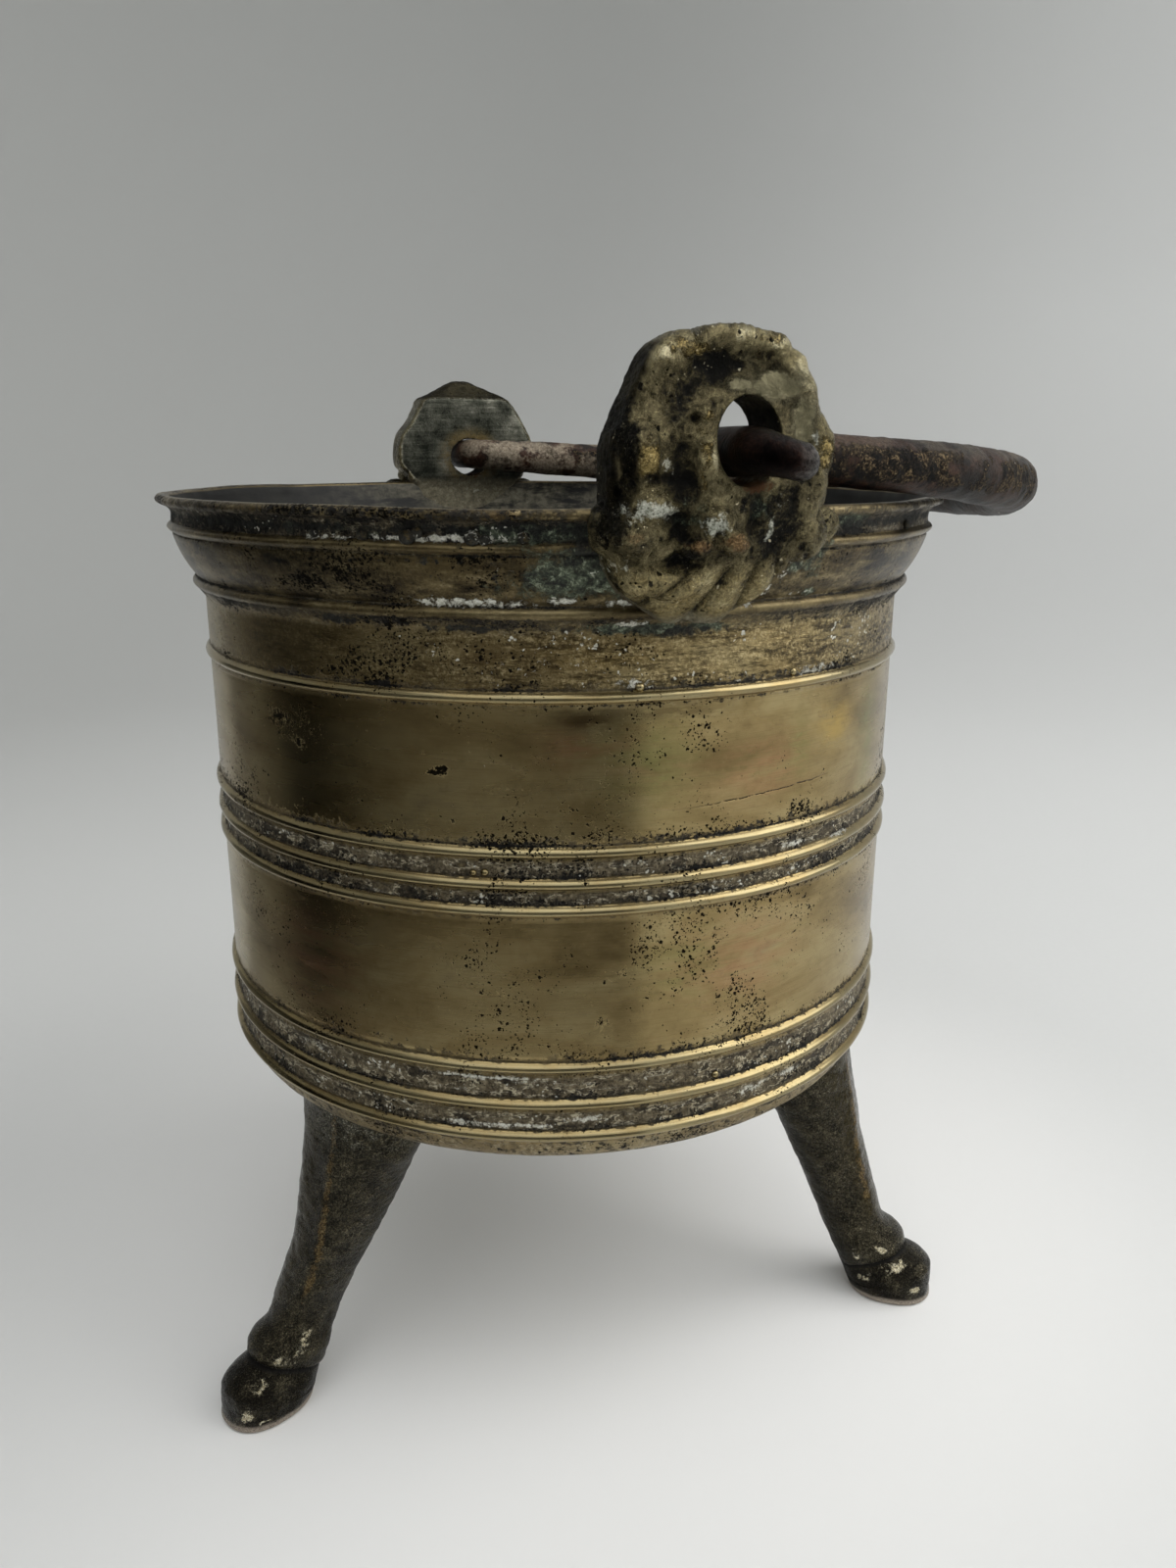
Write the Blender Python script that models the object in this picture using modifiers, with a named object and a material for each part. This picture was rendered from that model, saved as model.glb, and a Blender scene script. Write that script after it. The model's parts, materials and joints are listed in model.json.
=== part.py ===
# Brass tripod cauldron with a forged iron bail: turned shell, three cast legs, two cast ears.
# Metres, +Z up. The floor is Z = 0, the ears stand on -Y and +Y, and the bail lies folded towards +X.
import math

import bmesh
import bpy
import numpy as np
from mathutils import Matrix, Vector

FIT_GAP = 0.0003            # clearance between pieces that touch

# Shell, from the floor up: each height is measured from the feature below it
BASE_CLEARANCE = 0.0707     # floor to the middle of the underside
BASE_SAG = 0.0060           # the underside's middle hangs this far below its edge
BASE_CORNER = 0.0070        # radius between the underside and the wall
BASE_SET_IN = 0.0009        # the corner starts this far inside the wall line
WALL_RADIUS = 0.0855
WALL = 0.0034               # metal thickness
COLLAR_WALL = 0.0022        # metal thickness under the lip
LOWEST_BEAD_RISE = 0.0013   # corner to the lowest bead
LOW_BEAD_PITCHES = (0.0076, 0.0086)
LOWER_BAND = 0.0352         # top of the low group to the bottom of the middle group
MIDDLE_BEAD_PITCHES = (0.0058, 0.0067)
UPPER_BAND = 0.0313         # middle group to the single bead
NECK_BAND = 0.0164          # single bead to the ridge
COLLAR_RISE = 0.0140        # ridge to the collar bead
LIP_RISE = 0.0045           # collar bead to the widest line of the lip
BEAD_HEIGHT = 0.0024
BEAD_PROUD = 0.0010
RIDGE_PROUD = 0.0026        # ridge beyond the wall
RIDGE_HEIGHT = 0.0026
RIDGE_SKIRT = 0.0030        # slope from the ridge back to the wall
FLARE_STEP = 0.0006         # the flare's foot sits this far inside the ridge
FLARE_CROWN = 0.0006        # outward swell of the flare
LIP_RADIUS = 0.0950
LIP_ROUND = 0.0011          # half the height of the rounded lip
COVE_DEPTH = 0.0027         # hollow under the lip, from the lip's radius
COLLAR_BEAD_INSET = 0.0015
COLLAR_BEAD_HEIGHT = 0.0026
SHELL_STEPS = 60

# Legs: edges are measured outwards from the wall line, heights from the floor
LEG_ANGLES = (-65.6, 54.4, 174.4)   # degrees from -Y towards +X
LEG_NAMES = ("leg_left", "leg_right", "leg_rear")
LEG_LEANS = (0.0050, 0.0, 0.0)      # each root stands sideways of its sole, round the vessel
SOLE_INNER = 0.0015
SOLE_OUTER = 0.0215
SOLE_HALF_WIDTH = 0.0080
HOOF_HEIGHT = 0.0070        # height of the hoof's widest line
HOOF_INNER = -0.0017
HOOF_OUTER = 0.0235
HOOF_HALF_WIDTH = 0.0093
CROWN_HEIGHT = 0.0146       # top of the toe
CROWN_INNER = -0.0053
CROWN_OUTER = 0.0195
CROWN_HALF_WIDTH = 0.0082
GROOVE_HEIGHT = 0.0158
GROOVE_INNER = -0.0059
GROOVE_OUTER = 0.0148
GROOVE_HALF_WIDTH = 0.0077
FETLOCK_HEIGHT = 0.0184
FETLOCK_INNER = -0.0071
FETLOCK_OUTER = 0.0150
FETLOCK_HALF_WIDTH = 0.0090
ANKLE_HEIGHT = 0.0230
ANKLE_INNER = -0.0095
ANKLE_OUTER = 0.0095
ANKLE_HALF_WIDTH = 0.0079
CALF_DROP = 0.0120          # calf below the underside of the base
CALF_INNER = -0.0265
CALF_OUTER = 0.0003
CALF_HALF_WIDTH = 0.0125
ROOT_INNER = -0.0345
ROOT_OUTER = -0.0014
ROOT_HALF_WIDTH = 0.0170
LEG_SIDES = 20
LEG_SQUARENESS = 2.3        # 2 is an ellipse

# Ears: heights are measured from the top of the lip, reaches from the lip's radius
NEAR_EAR_OFFSET = -0.0008   # middle of the ear on -Y, towards the side that the bail folds to
FAR_EAR_OFFSET = 0.0018     # and of the ear on +Y
EAR_GRIP = 0.0065           # inner face, inside the lip's radius
EAR_PROUD = 0.0060          # outer face, outside the lip's radius
EAR_PEAK = 0.0310
EAR_PEAK_WIDTH = 0.0090
EAR_PEAK_LEAN = 0.0055      # the inner face is chamfered back by this much at the peak
EAR_SHOULDER = 0.0255
EAR_SHOULDER_WIDTH = 0.0285
EAR_BELLY = 0.0105
EAR_BELLY_WIDTH = 0.0445
EAR_NECK_WIDTH = 0.0425     # at the lip
LEAF_LENGTH = 0.0214        # the leaf below the lip, down to the ridge
LEAF_DROP = 0.0110          # height where the leaf begins to narrow
LEAF_WIDTH = 0.0370
LEAF_PROUD = 0.0030         # the leaf's face at that height, beyond the lip's radius
LEAF_TIP_WIDTH = 0.0150
LEAF_TIP_PROUD = 0.0016     # the leaf's tip beyond the ridge
LEAF_TIP_SINK = 0.0020      # the leaf's tip is let into the wall by this much
EAR_SIDES = 28
EAR_SQUARENESS = 5.0

# Bail: reaches are measured from the hinge line through the two ears
NEAR_PIVOT_RISE = 0.0097    # hinge line above the lip in the ear on -Y
FAR_PIVOT_RISE = 0.0085     # and in the ear on +Y
PIVOT_OFFSET = 0.0020       # hinge line towards the fold, from the vessel's axis
ROD_RADIUS = 0.0043         # at the ears
GRIP_RADIUS = 0.0070        # at the middle of the bail
GRIP_SWELL = 0.95           # how early the rod thickens towards the grip
TIP_RADIUS = 0.0034
ELBOW_RADIUS = 0.0075
HOOK_RADIUS = 0.0052
HOOK_REACH = 0.0130         # the upturned tip, from the hinge line
BAIL_BELLY = 0.0260         # where the hoop is widest
BAIL_REACH = 0.1170
BAIL_BEND = 0.0028          # the hoop is bent down by this much at its far end
NEAR_HOLE_PLAY = (0.0038, 0.0069)    # hole beyond the rod, across and in height
NEAR_HOLE_SHIFT = (0.0005, 0.0017)   # hole's middle from the rod's
FAR_HOLE_PLAY = (0.0038, 0.0025)
FAR_HOLE_SHIFT = (0.0003, -0.0009)

BRASS = (0.235, 0.165, 0.070, 1.0)
DARK_BRASS = (0.095, 0.075, 0.045, 1.0)
GREY_BRASS = (0.170, 0.150, 0.095, 1.0)
RUSTED_IRON = (0.090, 0.045, 0.032, 1.0)

CORNER_SWEEP = math.radians(75)      # part of the base corner that is a true arc
CORNER_POINTS = 5
FLARE_POINTS = 4
SAG_POINTS = 4
HOOP_POINTS = 22
BEND_POINTS = 5
LEVELS_PER_STATION = 3
HOLE_SIDES = 24
REST_STEPS = 200
SHARP_ANGLE = math.radians(40)

corner_height = BASE_CLEARANCE + BASE_SAG + BASE_CORNER * math.sin(CORNER_SWEEP)


def stacked(start, *rises):
    heights = [start]
    for rise in rises:
        heights.append(heights[-1] + rise)
    return heights


low_beads = stacked(corner_height + LOWEST_BEAD_RISE, *LOW_BEAD_PITCHES)
middle_beads = stacked(low_beads[-1] + LOWER_BAND, *MIDDLE_BEAD_PITCHES)
single_bead = middle_beads[-1] + UPPER_BAND
ridge_height = single_bead + NECK_BAND
collar_bead = ridge_height + COLLAR_RISE
lip_height = collar_bead + LIP_RISE
lip_top = lip_height + LIP_ROUND
ridge_radius = WALL_RADIUS + RIDGE_PROUD
ridge_foot = ridge_height - RIDGE_HEIGHT / 4
ear_back = LIP_RADIUS - EAR_GRIP
ear_front = LIP_RADIUS + EAR_PROUD


def bead_outline(radius, proud, height, length):
    half = length / 2
    top = half / 3
    return [(radius, height + half), (radius + proud, height + top),
            (radius + proud, height - top), (radius, height - half)]


def flare_outline():
    foot = Vector((ridge_radius - FLARE_STEP, ridge_height + RIDGE_HEIGHT / 2))
    head = Vector((LIP_RADIUS - COVE_DEPTH, collar_bead - COLLAR_BEAD_HEIGHT / 2))
    slope = head - foot
    outwards = Vector((slope.y, -slope.x)).normalized()
    points = []
    for step in range(1, FLARE_POINTS):
        part = step / FLARE_POINTS
        swell = FLARE_CROWN * 4 * part * (1 - part)
        points.append(tuple(head - slope * part + outwards * swell))
    return points + [tuple(foot)]


def outer_outline():
    cove = LIP_RADIUS - COVE_DEPTH
    points = []
    for degrees in (135, 90, 45, 0, -45):
        angle = math.radians(degrees)
        radius = LIP_RADIUS - LIP_ROUND * (1 - math.cos(angle))
        points.append((radius, lip_height + LIP_ROUND * math.sin(angle)))
    points.append((cove, lip_height - 2 * LIP_ROUND))
    points += bead_outline(cove, COVE_DEPTH - COLLAR_BEAD_INSET, collar_bead, COLLAR_BEAD_HEIGHT)
    points += flare_outline()
    points += [(ridge_radius, ridge_height + RIDGE_HEIGHT / 4), (ridge_radius, ridge_foot),
               (WALL_RADIUS, ridge_foot - RIDGE_SKIRT)]
    for height in [single_bead] + middle_beads[::-1] + low_beads[::-1]:
        points += bead_outline(WALL_RADIUS, BEAD_PROUD, height, BEAD_HEIGHT)
    return points[:-1] + base_outline(BASE_CORNER)


def base_outline(corner):
    middle = WALL_RADIUS - BASE_SET_IN - BASE_CORNER
    points = []
    for step in range(CORNER_POINTS):
        angle = CORNER_SWEEP * step / (CORNER_POINTS - 1)
        points.append((middle + corner * math.cos(angle), corner_height - corner * math.sin(angle)))
    edge, height = points[-1]
    for step in range(1, SAG_POINTS + 1):
        part = 1 - step / SAG_POINTS
        points.append((edge * part, height - BASE_SAG * (1 - part * part)))
    return points


def inner_outline():
    collar = (LIP_RADIUS - COVE_DEPTH - COLLAR_WALL, collar_bead)
    ridge = (ridge_radius - WALL, ridge_height + RIDGE_HEIGHT / 2)
    wall_top = (WALL_RADIUS - WALL, ridge_foot - RIDGE_SKIRT)
    wall_foot = (WALL_RADIUS - WALL, corner_height)
    return [collar, ridge, wall_top, wall_foot] + base_outline(BASE_CORNER - WALL)[1:]


def grown(outline, gap):
    points = [Vector(point) for point in outline]
    moved = []
    for index, point in enumerate(points):
        before = points[max(index - 1, 0)]
        after = points[min(index + 1, len(points) - 1)]
        along = (after - before).normalized()
        normal = Vector((-along.y, along.x))
        shifted = point + normal * gap
        on_axis = point.x < FIT_GAP
        moved.append((0.0 if on_axis else shifted.x, shifted.y))
    return moved


def collection_named(name):
    collection = bpy.data.collections.new(name)
    bpy.context.scene.collection.children.link(collection)
    return collection


def material_named(name, colour, roughness, metallic):
    material = bpy.data.materials.new(name)
    material.use_nodes = True
    shader = material.node_tree.nodes["Principled BSDF"]
    shader.inputs["Base Color"].default_value = colour
    shader.inputs["Roughness"].default_value = roughness
    shader.inputs["Metallic"].default_value = metallic
    return material


def add_object(name, data, collection, material=None):
    obj = bpy.data.objects.new(name, data)
    collection.objects.link(obj)
    if material:
        data.materials.append(material)
    return obj


def mark_cutter(obj):
    obj.hide_render = True
    obj.display_type = "WIRE"
    return obj


def turned(name, outline, collection, material=None):
    mesh = bpy.data.meshes.new(name)
    verts = [(radius, 0.0, height) for radius, height in outline]
    edges = [(index, index + 1) for index in range(len(verts) - 1)]
    mesh.from_pydata(verts, edges, [])
    obj = add_object(name, mesh, collection, material)
    screw = obj.modifiers.new("Screw", "SCREW")
    screw.steps = SHELL_STEPS
    screw.render_steps = SHELL_STEPS
    screw.use_merge_vertices = True
    screw.merge_threshold = 0.00001
    screw.use_smooth_shade = True
    return obj


def smooth_through(stations, at):
    # Cubic through (key, value) pairs whose slope never overshoots between two of them.
    keys = [key for key, _ in stations]
    values = [value for _, value in stations]
    steps = [(values[i + 1] - values[i]) / (keys[i + 1] - keys[i]) for i in range(len(keys) - 1)]
    slopes = [steps[0]]
    for left, right in zip(steps, steps[1:]):
        slopes.append(2 * left * right / (left + right) if left * right > 0 else 0.0)
    slopes.append(steps[-1])
    index = min(max(int(np.searchsorted(keys, at)) - 1, 0), len(steps) - 1)
    span = keys[index + 1] - keys[index]
    part = (at - keys[index]) / span
    rest = 1 - part
    return (values[index] * (1 + 2 * part) * rest * rest + values[index + 1] * (3 - 2 * part) * part * part
            + span * part * rest * (slopes[index] * rest - slopes[index + 1] * part))


def levels_between(stations):
    levels = []
    for low, high in zip(stations, stations[1:]):
        levels += [low + (high - low) * step / LEVELS_PER_STATION for step in range(LEVELS_PER_STATION)]
    return levels + [stations[-1]]


def rounded_ring(half_across, half_along, squareness, sides):
    ring = []
    for side in range(sides):
        angle = math.tau * (side + 0.5) / sides
        cosine = math.cos(angle)
        sine = math.sin(angle)
        across = math.copysign(abs(cosine) ** (2 / squareness), cosine)
        along = math.copysign(abs(sine) ** (2 / squareness), sine)
        ring.append((half_across * across, half_along * along))
    return ring


def lofted(name, rings, collection, material):
    mesh = bpy.data.meshes.new(name)
    bm = bmesh.new()
    rows = [[bm.verts.new(point) for point in ring] for ring in rings]
    for lower, upper in zip(rows, rows[1:]):
        for side in range(len(lower)):
            after = (side + 1) % len(lower)
            bm.faces.new((lower[side], lower[after], upper[after], upper[side]))
    bm.faces.new(rows[0])
    bm.faces.new(rows[-1])
    bmesh.ops.recalc_face_normals(bm, faces=bm.faces)
    bm.to_mesh(mesh)
    bm.free()
    mesh.shade_smooth()
    mesh.set_sharp_from_angle(angle=SHARP_ANGLE)
    return add_object(name, mesh, collection, material)


def cut_by(obj, cutter):
    cut = obj.modifiers.new("Cut by " + cutter.name, "BOOLEAN")
    cut.operation = "DIFFERENCE"
    cut.object = cutter
    cut.solver = "EXACT"


def leg(name, angle, lean, collection, material, shell_core):
    root_height = corner_height - BASE_CORNER / 4
    stations = [(0.0, SOLE_INNER, SOLE_OUTER, SOLE_HALF_WIDTH),
                (HOOF_HEIGHT, HOOF_INNER, HOOF_OUTER, HOOF_HALF_WIDTH),
                (CROWN_HEIGHT, CROWN_INNER, CROWN_OUTER, CROWN_HALF_WIDTH),
                (GROOVE_HEIGHT, GROOVE_INNER, GROOVE_OUTER, GROOVE_HALF_WIDTH),
                (FETLOCK_HEIGHT, FETLOCK_INNER, FETLOCK_OUTER, FETLOCK_HALF_WIDTH),
                (ANKLE_HEIGHT, ANKLE_INNER, ANKLE_OUTER, ANKLE_HALF_WIDTH),
                (BASE_CLEARANCE - CALF_DROP, CALF_INNER, CALF_OUTER, CALF_HALF_WIDTH),
                (root_height, ROOT_INNER, ROOT_OUTER, ROOT_HALF_WIDTH)]
    heights = [station[0] for station in stations]
    inner, outer, width = [list(zip(heights, column)) for column in list(zip(*stations))[1:]]
    turn = Matrix.Rotation(math.radians(angle), 3, "Z")
    rings = []
    for height in levels_between(heights):
        near = WALL_RADIUS + smooth_through(inner, height)
        far = WALL_RADIUS + smooth_through(outer, height)
        ring = rounded_ring(smooth_through(width, height), (far - near) / 2, LEG_SQUARENESS, LEG_SIDES)
        aside = lean * height / root_height
        rings.append([turn @ Vector((aside + x, y - (near + far) / 2, height)) for x, y in ring])
    obj = lofted(name, rings, collection, material)
    cut_by(obj, shell_core)
    return obj


def ear(name, side, offset, collection, material, shell_sleeve, hole):
    half_width = [(-LEAF_LENGTH, LEAF_TIP_WIDTH / 2), (-LEAF_DROP, LEAF_WIDTH / 2), (0.0, EAR_NECK_WIDTH / 2),
                  (EAR_BELLY, EAR_BELLY_WIDTH / 2), (EAR_SHOULDER, EAR_SHOULDER_WIDTH / 2),
                  (EAR_PEAK, EAR_PEAK_WIDTH / 2)]
    front = [(-LEAF_LENGTH, ridge_radius + LEAF_TIP_PROUD), (-LEAF_DROP, LIP_RADIUS + LEAF_PROUD),
             (0.0, ear_front), (EAR_PEAK, ear_front)]
    back = [(-LEAF_LENGTH, ridge_radius - LEAF_TIP_SINK), (-LEAF_DROP, ear_back),
            (EAR_SHOULDER, ear_back), (EAR_PEAK, ear_back + EAR_PEAK_LEAN)]
    rings = []
    for rise in levels_between([height for height, _ in half_width]):
        outer = smooth_through(front, rise)
        inner = smooth_through(back, rise)
        ring = rounded_ring(smooth_through(half_width, rise), (outer - inner) / 2, EAR_SQUARENESS, EAR_SIDES)
        middle = side * (outer + inner) / 2
        rings.append([(offset + x, middle + y, lip_top + rise) for x, y in ring])
    obj = lofted(name, rings, collection, material)
    cut_by(obj, shell_sleeve)
    cut_by(obj, hole)
    return obj


def hole_cutter(name, side, cutters, pivot_rise, play, shift):
    mesh = bpy.data.meshes.new(name)
    bm = bmesh.new()
    across = ROD_RADIUS + play[0] / 2
    upright = ROD_RADIUS + play[1] / 2
    length = 2 * (ear_front - ear_back)
    bmesh.ops.create_cone(bm, cap_ends=True, segments=HOLE_SIDES, radius1=1.0, radius2=1.0, depth=length)
    lie_down = Matrix.Rotation(math.pi / 2, 4, "X")
    oval = Matrix.Diagonal((across, 1.0, upright, 1.0))
    bmesh.ops.transform(bm, matrix=oval @ lie_down, verts=bm.verts)
    bm.to_mesh(mesh)
    bm.free()
    cutter = mark_cutter(add_object(name, mesh, cutters))
    cutter.location = (PIVOT_OFFSET + shift[0], side * (ear_back + ear_front) / 2,
                       lip_top + pivot_rise + shift[1])
    return cutter


def rod_radius(reach):
    part = min(max(reach / BAIL_REACH, 0.0), 1.0)
    return ROD_RADIUS + (GRIP_RADIUS - ROD_RADIUS) * part ** GRIP_SWELL


def bend_down(reach):
    part = max(reach - BAIL_BELLY, 0.0) / (BAIL_REACH - BAIL_BELLY)
    return BAIL_BEND * part * part


def hoop_point(angle):
    # Angle 0 is the widest line of the hoop and a right angle its far end: (along the hinge, reach).
    elbow_end = ear_back - FIT_GAP - ELBOW_RADIUS
    depth = BAIL_REACH - BAIL_BELLY
    half_width = elbow_end / math.cos(math.asin((ELBOW_RADIUS - BAIL_BELLY) / depth))
    return half_width * math.cos(angle), BAIL_BELLY + depth * math.sin(angle)


def half_bail():
    hook_out = ear_front + FIT_GAP
    elbow_start = ear_back - FIT_GAP
    points = []
    for degrees in (12, 40, 70):
        angle = math.radians(degrees)
        reach = HOOK_REACH - TIP_RADIUS * (1 - math.cos(angle))
        points.append((hook_out + HOOK_RADIUS, reach, TIP_RADIUS * math.sin(angle)))
    quarter_turn = [math.pi / 2 * step / (BEND_POINTS - 1) for step in range(BEND_POINTS)]
    for angle in quarter_turn:
        along = hook_out + HOOK_RADIUS * math.cos(angle)
        points.append((along, HOOK_RADIUS * (1 - math.sin(angle)), ROD_RADIUS))
    for angle in quarter_turn:
        along = elbow_start - ELBOW_RADIUS * math.sin(angle)
        points.append((along, ELBOW_RADIUS * (1 - math.cos(angle)), ROD_RADIUS))
    start = math.asin((ELBOW_RADIUS - BAIL_BELLY) / (BAIL_REACH - BAIL_BELLY))
    for step in range(1, HOOP_POINTS + 1):
        along, reach = hoop_point(start + (math.pi / 2 - start) * step / HOOP_POINTS)
        points.append((along, reach, rod_radius(reach)))
    return points


def resting_angle(hinge_height, tilt):
    # The bail sinks until the rod meets the top of the lip, on either arm.
    lowest = math.pi / 2
    for step in range(1, REST_STEPS):
        along, reach = hoop_point(math.pi / 2 * step / REST_STEPS)
        past_top = math.hypot(along, reach + PIVOT_OFFSET) - (LIP_RADIUS - LIP_ROUND)
        if abs(past_top) > LIP_ROUND:
            continue
        lip_surface = lip_height + math.sqrt(LIP_ROUND ** 2 - past_top ** 2)
        rod_centre = hinge_height - along * math.sin(tilt) - bend_down(reach)
        room = rod_centre - rod_radius(reach) - lip_surface - FIT_GAP
        lowest = min(lowest, math.asin(room / reach))
    return lowest


def bail(collection, material, root):
    near_height = lip_top + NEAR_PIVOT_RISE
    far_height = lip_top + FAR_PIVOT_RISE
    hinge_height = (near_height + far_height) / 2
    tilt = math.atan2(near_height - far_height, ear_front + ear_back)
    hinge = bpy.data.objects.new("bail_hinge", None)
    collection.objects.link(hinge)
    hinge.parent = root
    hinge.location = (PIVOT_OFFSET, 0.0, hinge_height)
    hinge.rotation_euler = (-tilt, resting_angle(hinge_height, tilt), 0.0)

    half = half_bail()
    path = half + [(-along, reach, radius) for along, reach, radius in half[-2::-1]]
    curve = bpy.data.curves.new("bail", "CURVE")
    curve.dimensions = "3D"
    curve.bevel_depth = 1.0
    curve.bevel_resolution = 4
    curve.use_fill_caps = True
    spline = curve.splines.new("POLY")
    spline.points.add(len(path) - 1)
    for point, (along, reach, radius) in zip(spline.points, path):
        point.co = (reach, -along, -bend_down(reach), 1.0)
        point.radius = radius
    spline.use_smooth = True
    obj = add_object("bail", curve, collection, material)
    obj.parent = hinge
    return obj


def centre_over_origin(root, parts):
    # The middle of the assembly's box comes over the origin, with the soles on the floor.
    bpy.context.view_layer.update()
    graph = bpy.context.evaluated_depsgraph_get()
    corners = []
    for part in parts:
        evaluated = part.evaluated_get(graph)
        mesh = evaluated.to_mesh()
        points = np.empty(len(mesh.vertices) * 3, np.float32)
        mesh.vertices.foreach_get("co", points)
        evaluated.to_mesh_clear()
        world = np.array(evaluated.matrix_world)
        placed = points.reshape(-1, 3) @ world[:3, :3].T + world[:3, 3]
        corners += [placed.min(axis=0), placed.max(axis=0)]
    middle = (np.min(corners, axis=0) + np.max(corners, axis=0)) / 2
    root.location = (-middle[0], -middle[1], 0.0)


def main():
    for obj in list(bpy.data.objects):
        bpy.data.objects.remove(obj, do_unlink=True)
    parts = collection_named("brass_tripod_cauldron")
    cutters = collection_named("cutters")
    root = bpy.data.objects.new("vessel_axis", None)
    parts.objects.link(root)

    shell = inner_outline()[::-1] + outer_outline()
    body = turned("kettle_body", shell, parts, material_named("turned_brass", BRASS, 0.42, 1.0))
    sleeve = mark_cutter(turned("shell_sleeve", grown(shell, FIT_GAP), cutters))
    core_outline = [(0.0, lip_top)] + outer_outline()
    core = mark_cutter(turned("shell_core", grown(core_outline, FIT_GAP), cutters))

    pieces = [body]
    leg_brass = material_named("cast_leg_brass", DARK_BRASS, 0.55, 1.0)
    for name, angle, lean in zip(LEG_NAMES, LEG_ANGLES, LEG_LEANS):
        pieces.append(leg(name, angle, lean, parts, leg_brass, core))
    ear_brass = material_named("cast_ear_brass", GREY_BRASS, 0.55, 1.0)
    near_hole = hole_cutter("near_hole", -1, cutters, NEAR_PIVOT_RISE, NEAR_HOLE_PLAY, NEAR_HOLE_SHIFT)
    far_hole = hole_cutter("far_hole", 1, cutters, FAR_PIVOT_RISE, FAR_HOLE_PLAY, FAR_HOLE_SHIFT)
    pieces.append(ear("ear_near", -1, NEAR_EAR_OFFSET, parts, ear_brass, sleeve, near_hole))
    pieces.append(ear("ear_far", 1, FAR_EAR_OFFSET, parts, ear_brass, sleeve, far_hole))
    for piece in pieces + list(cutters.objects):
        piece.parent = root
    pieces.append(bail(parts, material_named("rusted_iron", RUSTED_IRON, 0.75, 0.6), root))
    centre_over_origin(root, pieces)


main()
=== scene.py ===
import json
import math
from types import SimpleNamespace

import bmesh
import bpy
import numpy as np
from mathutils import Matrix, Vector


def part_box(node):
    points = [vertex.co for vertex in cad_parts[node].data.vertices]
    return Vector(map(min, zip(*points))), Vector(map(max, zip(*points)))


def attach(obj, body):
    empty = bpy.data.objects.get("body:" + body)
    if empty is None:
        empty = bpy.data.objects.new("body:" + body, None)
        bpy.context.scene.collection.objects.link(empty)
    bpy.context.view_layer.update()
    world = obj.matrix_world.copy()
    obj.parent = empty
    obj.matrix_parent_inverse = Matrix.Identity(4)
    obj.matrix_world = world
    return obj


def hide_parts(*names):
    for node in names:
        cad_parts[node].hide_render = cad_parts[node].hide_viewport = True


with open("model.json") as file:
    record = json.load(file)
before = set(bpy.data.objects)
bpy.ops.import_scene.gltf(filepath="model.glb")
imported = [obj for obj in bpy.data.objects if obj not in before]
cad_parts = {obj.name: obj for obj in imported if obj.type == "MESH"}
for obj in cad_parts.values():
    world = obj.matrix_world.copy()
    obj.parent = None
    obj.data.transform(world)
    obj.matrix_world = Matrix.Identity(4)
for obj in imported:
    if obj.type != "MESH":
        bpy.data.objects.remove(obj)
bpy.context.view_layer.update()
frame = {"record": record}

mm = 0.001
bodyLow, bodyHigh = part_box("kettle_body")
axisX = (bodyLow[0] + bodyHigh[0]) / 2          # the vessel's axis stands off the origin
axisY = (bodyLow[1] + bodyHigh[1]) / 2
lipTop = bodyHigh[2] / mm
print("frame loaded, lip top", round(lipTop, 2), "mm")


# shape helpers: everything is modelled in millimetres from the vessel's axis
def toWorld(points):
    return np.asarray(points, float) * mm + (axisX, axisY, 0.0)


def softNoise(points, cell, seed):
    # smooth value noise, -1 to 1, with lumps about one cell wide
    scaled = np.asarray(points, float) / cell
    corner = np.floor(scaled).astype(np.int64)
    part = scaled - corner
    part = part * part * part * (part * (part * 6 - 15) + 10)
    total = np.zeros(len(scaled))
    for i in (0, 1):
        for j in (0, 1):
            for k in (0, 1):
                x, y, z = corner[:, 0] + i, corner[:, 1] + j, corner[:, 2] + k
                mixed = (x * 73856093) ^ (y * 19349663) ^ (z * 83492791) ^ (seed * 961748927)
                mixed = ((mixed ^ (mixed >> 13)) * 1274126177) & 0xffffffff
                value = ((mixed ^ (mixed >> 16)) & 0xffff) / 32767.5 - 1
                weight = (np.where(i, part[:, 0], 1 - part[:, 0]) * np.where(j, part[:, 1], 1 - part[:, 1])
                          * np.where(k, part[:, 2], 1 - part[:, 2]))
                total += value * weight
    return total


def layeredNoise(points, cell, layers, seed):
    total = np.zeros(len(points))
    for layer in range(layers):
        total += softNoise(points, cell / 2 ** layer, seed + layer) / 2 ** layer
    return total


def smoothStep(low, high, value):
    part = np.clip((np.asarray(value, float) - low) / (high - low), 0, 1)
    return part * part * (3 - 2 * part)


def spot(a, b, centreA, centreB, halfA, halfB):
    return np.exp(-((a - centreA) / halfA) ** 2 - ((b - centreB) / halfB) ** 2)


def turnsApart(degrees, at):
    return (degrees - at + 180) % 360 - 180


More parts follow.
